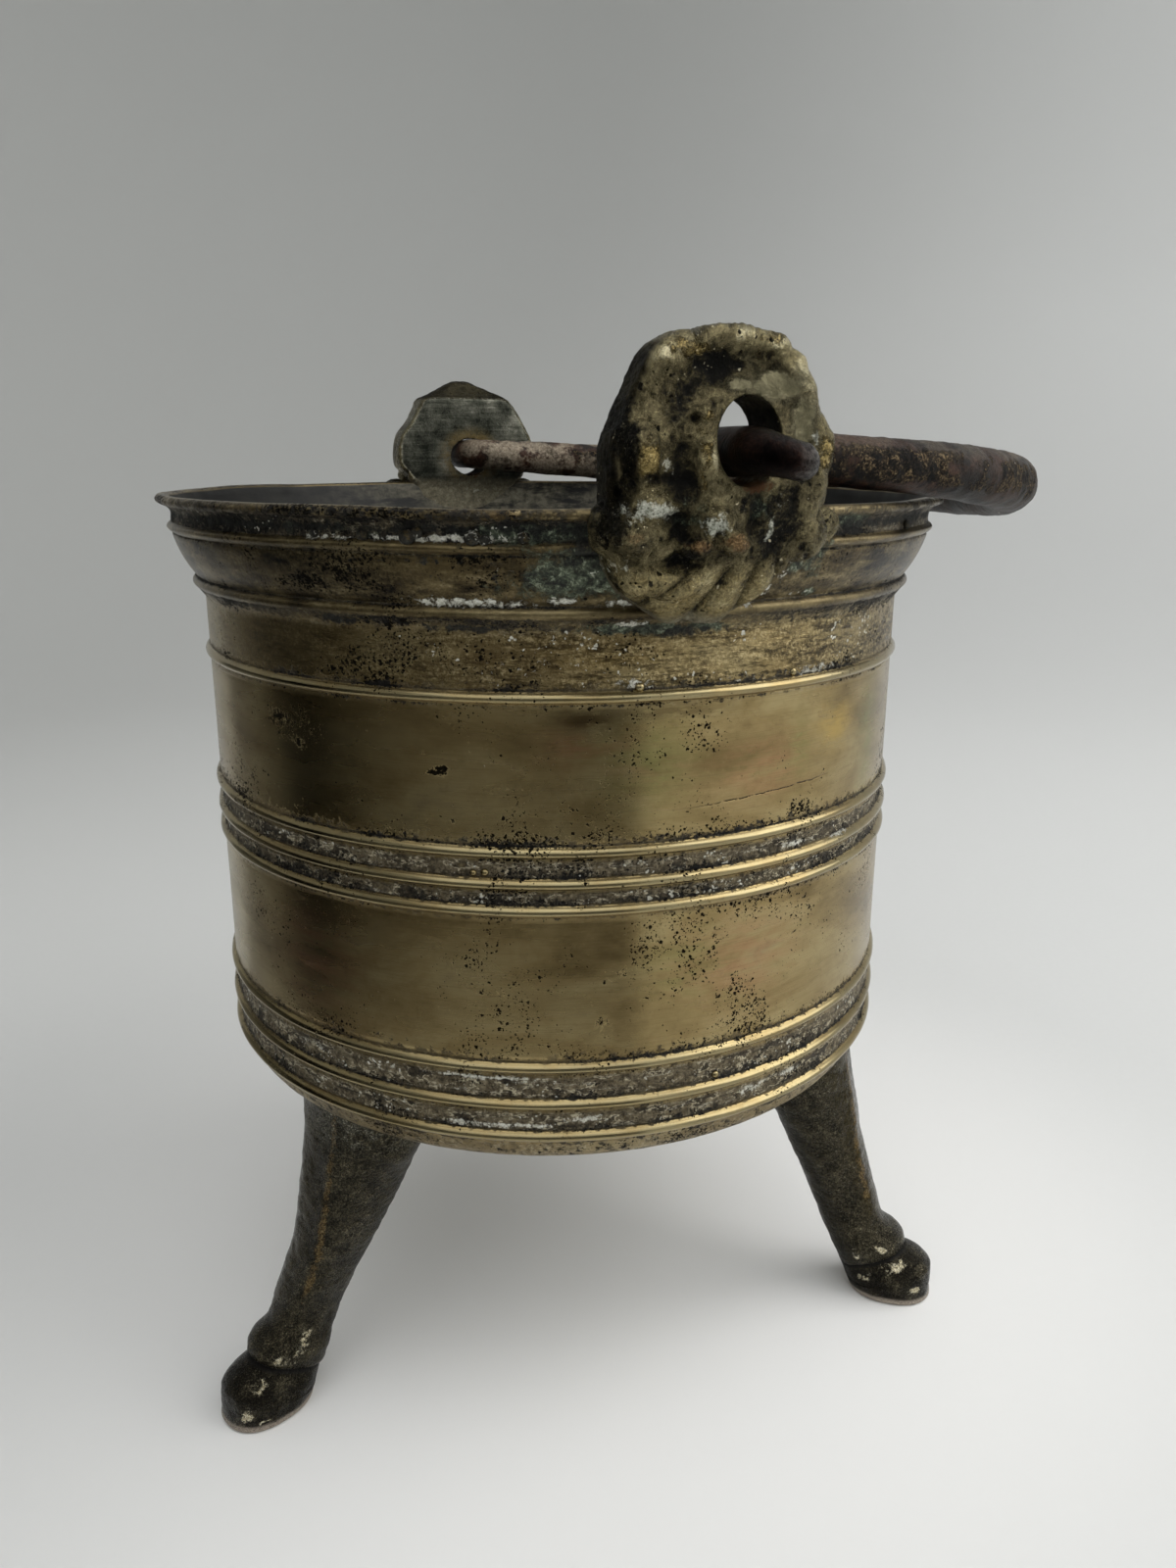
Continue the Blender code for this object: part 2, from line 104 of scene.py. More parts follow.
def through(stations, at):
    # smooth curve through rising (key, value) pairs, without overshoot
    keys = np.array([s[0] for s in stations], float)
    values = np.array([s[1] for s in stations], float)
    at = np.asarray(at, float)
    steps = np.diff(values) / np.diff(keys)
    slopes = np.concatenate([[steps[0]], np.zeros(len(steps) - 1), [steps[-1]]])
    same = steps[:-1] * steps[1:] > 0
    total = steps[:-1] + steps[1:]
    slopes[1:-1] = np.where(same, 2 * steps[:-1] * steps[1:] / np.where(same, total, 1), 0)
    i = np.clip(np.searchsorted(keys, at) - 1, 0, len(steps) - 1)
    span = keys[i + 1] - keys[i]
    t = np.clip((at - keys[i]) / span, 0, 1)
    return (values[i] * (1 + 2 * t) * (1 - t) ** 2 + values[i + 1] * (3 - 2 * t) * t ** 2
            + span * t * (1 - t) * (slopes[i] * (1 - t) - slopes[i + 1] * t))


def squareRing(sides, square, start=0.0):
    # a circle with flattened sides: the angles, then across and along from -1 to 1
    around = (np.arange(sides) + start) / sides * math.tau
    across, along = [np.sign(wave) * np.abs(wave) ** (2 / square) for wave in (np.cos(around), np.sin(around))]
    return around, across, along


def gridFaces(rows, columns, capped=False):
    faces = []
    for row in range(rows - 1):
        here, above = row * columns, (row + 1) * columns
        for side in range(columns):
            after = (side + 1) % columns
            faces.append((here + side, here + after, above + after, above + side))
    if capped:
        last = (rows - 1) * columns
        faces += [tuple(range(columns)), tuple(range(last, last + columns))]
    return faces


def linked(name, content):
    holder = bpy.data.objects.new(name, content)
    bpy.context.scene.collection.objects.link(holder)
    return holder


def meshPiece(name, points, faces, marks=None):
    mesh = bpy.data.meshes.new(name)
    mesh.from_pydata(toWorld(points).tolist(), [], faces)
    mesh.update()
    bm = bmesh.new()
    bm.from_mesh(mesh)
    bmesh.ops.recalc_face_normals(bm, faces=bm.faces)
    bm.to_mesh(mesh)
    bm.free()
    mesh.shade_smooth()
    for mark, values in (marks or {}).items():
        setMark(mesh, mark, values)
    return linked(name, mesh)


def setMark(mesh, mark, values):
    layer = mesh.attributes.new(mark, "FLOAT", "POINT")
    layer.data.foreach_set("value", np.clip(np.asarray(values, np.float32), 0, 1))


def addStains(marks, stains, across, height, share=1.0):
    # each stain is a soft spot: place, half widths, strength
    for kind, places in stains.items():
        marks[kind] = np.zeros(len(height))
        for at, level, halfA, halfB, strength in places:
            marks[kind] = np.maximum(marks[kind], strength * spot(across(at), height, 0, level, halfA, halfB) * share)


def finishPiece(piece, node, body, material):
    piece.data.materials.append(material)
    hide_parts(node)
    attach(piece, body)
    print("made", piece.name, len(piece.data.polygons), "faces")


# node helpers
def srgb(red, green, blue):
    lin = [c / 255 / 12.92 if c <= 10 else ((c / 255 + 0.055) / 1.055) ** 2.4 for c in (red, green, blue)]
    return (*lin, 1.0)


class Wire:
    # a node's output that takes part in plain arithmetic; a | b is the greater of the two
    def __init__(self, finish, socket):
        self.finish, self.socket = finish, socket

    def __add__(self, other):
        return self.finish.maths("ADD", self, other)

    def __sub__(self, other):
        return self.finish.maths("SUBTRACT", self, other)

    def __rsub__(self, other):
        return self.finish.maths("SUBTRACT", other, self)

    def __mul__(self, other):
        return self.finish.maths("MULTIPLY", self, other)

    def __or__(self, other):
        return self.finish.maths("MAXIMUM", self, other)

    def __abs__(self):
        return self.finish.maths("ABSOLUTE", self, 0.0)


class Finish:
    # a material or a sky under construction: each call adds a node and gives back its output
    def __init__(self, name, shelf=bpy.data.materials, place="Object"):
        self.owner = shelf.new(name)
        self.owner.use_nodes = True
        self.tree = self.owner.node_tree
        self.place = self.node("TexCoord", {}, place)
        self.tone = self.normal = None

    def join(self, value, socket):
        if isinstance(value, Wire):
            self.tree.links.new(value.socket, socket)
        else:
            socket.default_value = srgb(*value) if socket.type == "RGBA" else value

    def node(self, kind, inputs, output=0, **settings):
        node = self.tree.nodes.new("ShaderNode" + kind)
        for setting, value in settings.items():
            setattr(node, setting, value)
        for name, value in inputs.items():
            self.join(value, node.inputs[name])
        return Wire(self, node.outputs[output])

    def maths(self, kind, a, b):
        return self.node("Math", {0: a, 1: b}, operation=kind)

    def along(self, direction):
        return self.node("VectorMath", {0: self.place, 1: direction}, "Value", operation="DOT_PRODUCT")

    def scaled(self, x=1000, y=1000, z=1000):
        # a place in millimetres, or squeezed one way so that what is drawn there is streaked
        return self.node("Mapping", {"Vector": self.place, "Scale": (x, y, z)})

    def noise(self, vector, scale, detail=4.0, rough=0.55, twist=0.0):
        return self.node("TexNoise", {"Vector": vector, "Scale": scale, "Detail": detail, "Roughness": rough,
                                      "Distortion": twist}, "Fac")

    def cells(self, vector, scale, output="Distance"):
        return self.node("TexVoronoi", {"Vector": vector, "Scale": scale, "Randomness": 1.0}, output)

    def warped(self, vector, scale, amount):
        # pushes a place about, so that what is drawn there has ragged edges
        push = self.node("TexNoise", {"Vector": vector, "Scale": scale, "Detail": 3.0}, "Color")
        return self.node("VectorMath", {0: push, 1: (amount, amount, amount), 2: vector}, operation="MULTIPLY_ADD")

    def specks(self, vector, scale, share):
        # scattered specks of many sizes; share is how many of the cells hold one
        size = (self.cells(vector, scale, "Color") + share - 0.90) * 1.25
        return self.span(size - self.cells(vector, scale), 0.0, 0.07)

    def mark(self, name):
        return self.node("Attribute", {}, "Fac", attribute_name=name)

    def span(self, value, low, high, toLow=0.0, toHigh=1.0):
        return self.node("MapRange", {"Value": value, "From Min": low, "From Max": high, "To Min": toLow,
                                      "To Max": toHigh}, "Result", interpolation_type="SMOOTHSTEP")

    def torn(self, mark, noise, amount, low, high):
        # a mark with its edge broken up by a noise
        return self.span(self.mark(mark) + (noise - 0.5) * amount, low, high)

    def ramp(self, value, *stops):
        node = self.tree.nodes.new("ShaderNodeValToRGB")
        self.join(value, node.inputs[0])
        points = node.color_ramp.elements
        while len(points) < len(stops):
            points.new(0.5)
        for point, (position, *colour) in zip(points, stops):
            point.position, point.color = position, srgb(*colour)
        return Wire(self, node.outputs["Color"])

    def mix(self, amount, under, over):
        return self.node("Mix", {0: amount, 6: under, 7: over}, 2, data_type="RGBA")

    def lay(self, amount, over):
        self.tone = self.mix(amount, self.tone, over)

    def blend(self, amount, under, over):
        return self.node("Mix", {0: amount, 2: under, 3: over})

    def bump(self, height, depth, strength):
        inputs = {"Strength": strength, "Distance": depth, "Height": height}
        if self.normal:
            inputs["Normal"] = self.normal
        self.normal = self.node("Bump", inputs, "Normal")

    def done(self, roughness, metallic, sheen=0.5, brushed=0.0):
        shader = self.tree.nodes["Principled BSDF"].inputs
        shader["Specular IOR Level"].default_value = sheen
        shader["Anisotropic"].default_value = brushed
        shader["Anisotropic Rotation"].default_value = 0.25          # marks run round the vessel
        self.join(self.tone, shader["Base Color"])
        self.join(roughness, shader["Roughness"])
        self.join(metallic, shader["Metallic"])
        self.join(self.normal, shader["Normal"])
        return self.owner


# the turned shell
kettle = {
    "lip": 95.2, "lipHeight": 214.95, "lipHalf": 1.1, "cove": 91.9, "collarBead": 208.9, "collarProud": 1.0,
    "ridge": 196.36, "ridgeProud": 2.6, "wall": 85.5, "thickness": 3.4,
    "singleBead": 179.96, "midBeads": (148.66, 141.96, 136.16), "lowBeads": (100.96, 92.36, 84.76),
    "beadHeight": 2.5, "beadProud": 1.05, "landDepth": 0.35,
    "cornerHeight": 83.46, "corner": 7.0, "cornerInset": 0.9, "sag": 6.0, "around": 448,
    # heights over which one zone runs into the next
    "nearLip": (198, 214), "atLip": (213.2, 213.9), "insideLip": (207, 214), "scum": (200, 210),
    "collarFrom": (192.5, 195.5), "neckFrom": (180.5, 182.5), "neckTo": (194.5, 192.0),
    "crack": 156.6, "crackSlope": 0.075, "crackFrom": (-3, 6), "crackTo": (27, 20),          # degrees
}

# degrees from the near ear, height, half widths in degrees and mm, strength
kettleStains = {
    "lime": [(-29, 198.4, 10.5, 1.3, 1), (-17.5, 198.9, 2.4, 1, 1), (-8.4, 194.3, 3.2, 0.8, 0.9),
             (6.5, 197.6, 1.6, 1.6, 1), (8.6, 200.2, 1.5, 1.8, 1), (10.8, 203, 1.3, 1.6, 0.8),
             (15, 198.6, 4.5, 1, 0.6), (-25, 185, 8, 5, 0.45), (-8, 182.6, 3.5, 1.5, 0.9), (8, 182.4, 7, 1.1, 0.7),
             (20, 182.3, 8, 1.2, 0.9), (19, 144.6, 6, 0.9, 0.9), (29, 143.2, 4, 0.9, 0.9), (-29, 98.4, 12, 0.9, 0.9),
             (-44, 97.6, 4, 0.8, 0.6), (-28, 87.2, 13, 0.9, 0.95), (12, 88.6, 3.2, 1.6, 0.9), (20, 89, 3.6, 1, 0.9),
             (-14, 88.4, 4, 1.5, 0.8), (-34, 95.2, 7, 0.7, 0.6), (-31, 210.4, 12, 1, 0.92), (-46, 210.2, 6, 0.8, 0.7),
             (40, 210.3, 14, 0.7, 0.55), (-22, 203, 9, 4, 0.34), (-20, 187, 12, 5, 0.36), (-13, 203.5, 8, 5, 0.42),
             (-10, 198.4, 4, 1.2, 0.9), (12.5, 206, 3, 4, 0.55), (22, 199.4, 5, 1, 0.5), (165, 199, 14, 2, 0.8),
             (-160, 205, 10, 4, 0.5), (176, 193.6, 12, 1, 0.8), (95, 98, 20, 1, 0.8), (-100, 143.5, 18, 1, 0.8),
             (150, 88, 22, 1.2, 0.8), (60, 96.5, 14, 0.9, 0.8), (-24, 204.5, 8, 3, 0.38)],
    "green": [(-15, 204, 10, 7, 0.9), (-20, 211.4, 12, 2.4, 0.9), (14, 206, 6, 7, 0.7), (-48, 211.6, 18, 1.6, 0.5),
              (170, 205, 14, 6, 0.9), (20, 212.6, 6, 2.2, 0.9), (-23, 202, 8, 4, 0.5), (16.5, 198.8, 2.4, 1.2, 0.9),
              (-5, 193.2, 13, 1.5, 1), (-32, 209, 8, 3, 0.3)],
    "tar": [(-14, 208, 5, 6, 0.8), (-19, 202, 6, 2, 0.6), (-30, 193.4, 9, 1.3, 0.8), (-2, 192.4, 10, 1.2, 0.9),
            (0, 212, 400, 1.5, 0.78), (150, 193.5, 40, 1.4, 0.8), (-47, 194, 7, 1.4, 0.75), (-36, 203, 24, 5, 0.3),
            (-30, 206.4, 20, 1, 0.62), (60, 193.2, 16, 1, 0.6), (-22, 203.4, 8, 4.5, 0.5)],
    "pits": [(-61, 171.4, 7, 5, 1), (-33.5, 165.4, 1.6, 1.3, 1), (-3, 119, 24, 18, 0.42), (-40, 203, 26, 5, 0.5),
             (-28, 186, 22, 7, 0.42), (-26, 117, 10, 13, 0.6), (-51, 201.3, 9, 2.2, 1), (14, 120, 14, 15, 0.3),
             (-20, 158, 26, 14, 0.35), (12, 153, 22, 3.5, 0.6), (26, 152, 3.5, 5, 0.42), (-48, 184, 12, 5, 0.5),
             (-70, 160, 14, 20, 0.3), (120, 150, 50, 40, 0.5), (-130, 130, 40, 45, 0.5), (180, 120, 30, 25, 0.6)],
    "smear": [(-14.7, 175.6, 5, 2.2, 1), (-27, 187.5, 14, 5.5, 0.55), (150, 170, 9, 4, 0.8), (-3, 176.6, 9, 1.6, 0.7)],
    "blot": [(-33.5, 165.2, 1.5, 1.2, 1.1), (-34.6, 164.4, 1.6, 0.6, 1), (-61, 172, 3, 2, 0.85),
             (-57, 167.5, 1.8, 2.4, 0.75), (-36.5, 168.6, 0.8, 0.9, 0.7), (-32, 155, 0.7, 1, 0.7),
             (-52, 171, 1.6, 2, 0.5), (-9, 122.4, 1, 2.4, 0.65), (-12, 111, 1.6, 3.2, 0.6),
             (-5.5, 116, 1.8, 1.2, 0.55), (-26, 118, 1.2, 1.6, 0.6), (-29, 113, 1.4, 1.2, 0.6),
             (3.5, 124, 0.8, 1.4, 0.6), (150, 125, 2.2, 2.4, 0.6), (120, 168, 2, 2, 0.6), (-120, 115, 2.4, 2, 0.6),
             (80, 116, 1.6, 2.6, 0.6)],
    "copper": [(-24.5, 214.6, 2, 1.6, 1), (11.8, 163, 7, 6, 0.8), (-15.2, 170.5, 5, 4, 0.8), (-56, 120, 7, 12, 0.9),
               (10, 121, 9, 10, 0.7), (100, 120, 30, 20, 0.6), (-120, 160, 25, 15, 0.6)],
    "gold": [(27, 169, 4.5, 5, 0.9), (-12, 188, 6, 1.8, 0.8), (140, 115, 15, 15, 0.6)],
    "olive": [(-6, 166, 6, 9, 0.8), (18.5, 166, 1.8, 6, 0.8), (38, 164, 3.5, 12, 0.9), (0, 122, 6, 8, 0.5),
              (-100, 120, 20, 20, 0.6)],
}
# degrees, height, radius: drops of metal left by the casting
kettleNodules = [(-7.4, 181.9, 0.95), (5.4, 95, 0.85), (16.4, 182.3, 0.9), (-29.6, 144.2, 0.7), (-28, 144.4, 0.8),
                 (-40.9, 210.7, 1.1), (-35.2, 210.5, 1.5), (-34, 211.4, 1.1), (-27.6, 210.6, 1.5), (-26.2, 210.2, 1),
                 (-47.5, 210.8, 0.9), (-21.8, 210.7, 1.1), (36, 210.8, 1), (112, 210.7, 1.3), (-142, 210.8, 1.2),
                 (74, 144, 0.9), (133, 96.8, 0.9), (-118, 182.2, 1), (171, 143, 0.8)]


def kettleOutline():
    # rows of (radius, height, polish, grime, groove, inside): up the inside, over the lip and down the outside
    k = SimpleNamespace(**kettle)
    wall, inner = k.wall, k.wall - k.thickness
    middle, innerCorner = wall - k.cornerInset - k.corner, k.corner - k.thickness
    rows = []

    def add(radius, height, polish=0.0, grime=0.0, groove=0.0, inside=0.0):
        rows.append((radius, height, polish, grime, groove, inside))

    def bead(radius, height, proud, tall, shine=1.0):
        for t in np.linspace(-1, 1, 11):
            edge = 0.6 * t ** 6 if t < 0 else 0.35 * t ** 6
            shape = max(math.cos(t * math.pi / 2), 0.0) ** 0.75
            shineHere = shine * max(math.cos((t + 0.12) * math.pi / 1.9), 0.0)
            add(radius + proud * shape, height - t * tall / 2, shineHere, edge * 0.9)

    turnedIn = math.radians(75)          # where the corner runs into the base
    foot = k.cornerHeight - innerCorner * math.sin(turnedIn)
    edge = middle + innerCorner * math.cos(turnedIn)
    for part in np.linspace(0.006, 1, 11):
        add(edge * part, foot - k.sag * (1 - part * part), inside=1)
    for angle in np.radians((60, 40, 20, 0)):
        add(middle + innerCorner * math.cos(angle), k.cornerHeight - innerCorner * math.sin(angle), inside=1)
    for height in np.linspace(k.cornerHeight + 4, k.ridge - 4.5, 18):
        add(inner, height, inside=1)
    flare = [(k.ridge - 4.5, inner), (k.ridge + 1.3, wall + k.ridgeProud - k.thickness),
             (k.collarBead, k.cove - 2.2), (k.lipHeight + 0.6, k.lip - 3.0)]
    for height in np.linspace(k.ridge - 3.6, k.lipHeight + 0.3, 14):
        add(float(through(flare, height)), height, inside=1)

    # the lip is darker on its outer face and underside than on its top
    for degrees in (140, 118, 96, 74, 52, 30, 8, -14, -36, -58, -78):
        angle = math.radians(degrees)
        worn = max(math.cos(math.radians(degrees - 80)), 0) ** 20 * 0.8
        add(k.lip - 1.6 * (1 - math.cos(angle)), k.lipHeight + k.lipHalf * math.sin(angle), worn,
            0.30 if degrees > 60 else 0.60)
    hollowTop, hollowLow = k.lipHeight - k.lipHalf - 0.15, k.collarBead + 1.25
    for part in np.linspace(0, 1, 8):
        add(k.cove + 1.5 * (1 - part) ** 4 + 0.1 * part ** 4 - 0.15, hollowTop + (hollowLow - hollowTop) * part,
            0, 0.9, 0.8)
    bead(k.cove, k.collarBead, k.collarProud, 2.1, 0.5)
    add(k.cove - 0.3, k.collarBead - 1.35, 0, 0.8, 0.3)
    top = np.array((k.cove - 0.1, k.collarBead - 1.8))
    low = np.array((wall + k.ridgeProud - 0.75, k.ridge + 1.7))
    slope = low - top
    out = np.array((-slope[1], slope[0])) / np.hypot(*slope)
    for part in np.linspace(0, 1, 13):
        point = top + slope * part + out * 0.5 * 4 * part * (1 - part)
        add(point[0], point[1], 0.0, 0.35 * part ** 6 + 0.3 * (1 - part) ** 5)
    add(low[0] - 0.25, k.ridge + 1.3, 0, 1.0, 0.4)
    for t in np.linspace(-1, 0.8, 9):
        add(low[0] - 0.1 + 0.85 * math.cos(t * math.pi / 2) ** 0.8, k.ridge - t * 1.15,
            0.75 * max(math.cos((t + 0.2) * 1.8), 0), abs(t) ** 4 * 0.8)
    start = rows[-1]
    for part in np.linspace(0.15, 1, 7):
        add(start[0] + (wall - start[0]) * part, start[1] - 2.6 * part ** 1.15, 0, 0.9 - 0.4 * part, 0.2)

    beads = [k.singleBead] + list(k.midBeads) + list(k.lowBeads)
    for number, height in enumerate(beads):
        top = rows[-1][1]
        end = height + k.beadHeight / 2
        gap = top - end
        inGroup = number in (2, 3, 5, 6)
        count = max(5, int(gap / 1.1))
        for step in range(1, count + 1):
            part = step / (count + 0.6)
            drop = k.landDepth * min(1.0, 3 * part, 3 * (1 - part)) if inGroup else 0.0
            above = gap * (1 - part)
            add(wall - drop, top - gap * part, 0.0, math.exp(-(above / 2.3) ** 2) * 0.74, 1.0 if inGroup else 0.0)
        add(wall - 0.28, end + 0.28, 0, 1.0, 0.5)
        bead(wall - 0.1, height, k.beadProud + 0.1, k.beadHeight)
        add(wall - 0.15, height - k.beadHeight / 2 - 0.2, 0, 0.55, 0.15)

    # the rounded corner and the base underneath are darker, most of all at the middle underneath
    for angle in np.radians(np.linspace(12, 75, 8)):
        add(middle + k.corner * math.cos(angle), k.cornerHeight - k.corner * math.sin(angle), 0.05, 0.46, 0.35)
    edge, height = rows[-1][:2]
    for part in np.linspace(0.95, 0.006, 13):
        add(edge * part, height - k.sag * (1 - part * part), 0, 0.7 * (1 - part) + 0.2, 0.6)
    return np.array(rows)


def makeKettle(material):
    k = SimpleNamespace(**kettle)
    rows, around = kettleOutline(), k.around
    angles = np.radians(np.arange(around) * 360 / around)
    radius = np.repeat(rows[:, 0], around)
    height = np.repeat(rows[:, 1], around)
    turn = np.tile(angles, len(rows))            # 0 at the near ear, rising towards the bail's side
    polish, grime, groove, inside = [np.repeat(rows[:, c], around) for c in range(2, 6)]
    flat = np.stack([radius * np.sin(turn), -radius * np.cos(turn), height], axis=1)

    ringWalk = np.stack([60 * np.sin(turn), 60 * np.cos(turn), height * 0], axis=1)
    nearLip = smoothStep(*k.nearLip, height)
    radius = radius + 0.16 * softNoise(ringWalk, 38, 3) * smoothStep(0, 60, radius)
    radius = radius + nearLip * 0.24 * layeredNoise(ringWalk, 22, 2, 7)
    atLip = smoothStep(*k.atLip, height)
    radius = radius + atLip * (0.12 * layeredNoise(flat, 3.4, 2, 15) - 0.15)
    height = height + nearLip * (0.30 * layeredNoise(ringWalk, 26, 3, 11) - 0.12)
    rough = layeredNoise(flat, 2.6, 3, 21)
    radius = radius + groove * (1 - inside) * 0.20 * rough * smoothStep(0, 40, radius)
    radius = radius + (1 - groove) * 0.035 * layeredNoise(flat, 11, 2, 31) * smoothStep(0, 60, radius)
    radius = radius - polish * 0.06 * np.clip(layeredNoise(ringWalk + flat * (0, 0, 0.4), 5, 2, 41), 0, 1)
    inLump = inside * smoothStep(*k.insideLip, height)
    radius = radius - inLump * 0.5 * np.clip(layeredNoise(flat, 9, 2, 51) + 0.2, 0, 1)

    degrees = turnsApart(np.degrees(turn), 0)
    marks = {"polish": polish, "grime": grime, "groove": groove, "inside": inside}
    addStains(marks, kettleStains, lambda at: turnsApart(degrees, at), height, 1 - inside)
    marks["collar"] = smoothStep(*k.collarFrom, height) * (1 - inside)
    marks["neck"] = (smoothStep(*k.neckFrom, height) * smoothStep(*k.neckTo, height) * (1 - inside)
                     * (1 - 0.75 * spot(degrees, 0, -75, 0, 42, 1)))
    marks["scum"] = inside * smoothStep(*k.scum, height) * spot(turnsApart(degrees, 172), 0, 0, 0, 24, 1)
    marks["crack"] = 0.5 + (height - k.crack - k.crackSlope * degrees) / 8
    marks["crackSpan"] = smoothStep(*k.crackFrom, degrees) * smoothStep(*k.crackTo, degrees) * (1 - inside)
    points = np.stack([radius * np.sin(turn), -radius * np.cos(turn), height], axis=1)
    points, faces, marks = addNodules(points, gridFaces(len(rows), around, True), marks)
    piece = meshPiece("kettleShell", points, faces, marks)
    finishPiece(piece, "kettle_body", "vessel", material)


def addNodules(points, faces, marks):
    extra, extraFaces = [], []
    rings, sides = 6, 14
    for at, level, size in kettleNodules:
        angle = math.radians(at)
        reach = kettle["wall"] - 0.15 if level < 190 else kettle["cove"] + 0.2
        out = np.array((math.sin(angle), -math.cos(angle), 0))
        side = np.array((math.cos(angle), math.sin(angle), 0))
        first = len(points) + len(extra)
        for ring in range(rings):
            rise = ring / (rings - 1) * math.pi / 2
            lift = math.sin(rise)
            spread = math.cos(rise) if ring < rings - 1 else 0.12
            for step in range(sides):
                turn = step / sides * math.tau
                offset = side * math.cos(turn) * 1.1 + np.array((0, 0, 1)) * math.sin(turn)
                extra.append(out * (reach + size * lift * 0.9) + (0, 0, level) + offset * size * spread)
        last = first + (rings - 1) * sides
        extraFaces += [tuple(first + i for i in face) for face in gridFaces(rings, sides)]
        extraFaces += [tuple(range(last, last + sides)), tuple(range(first, first + sides))]
    high = np.array([p[2] > 190 for p in extra])
    crusted = {"collar": 1.0, "tar": 0.78, "lime": 0.46, "green": 0.45}          # those under the lip are caked over
    for name in marks:
        plain = np.where(high, 0.1, 0.7) if name == "polish" else np.where(high, crusted.get(name, 0.0), 0.0)
        marks[name] = np.concatenate([marks[name], plain])
    return np.concatenate([points, extra]), faces + extraFaces, marks


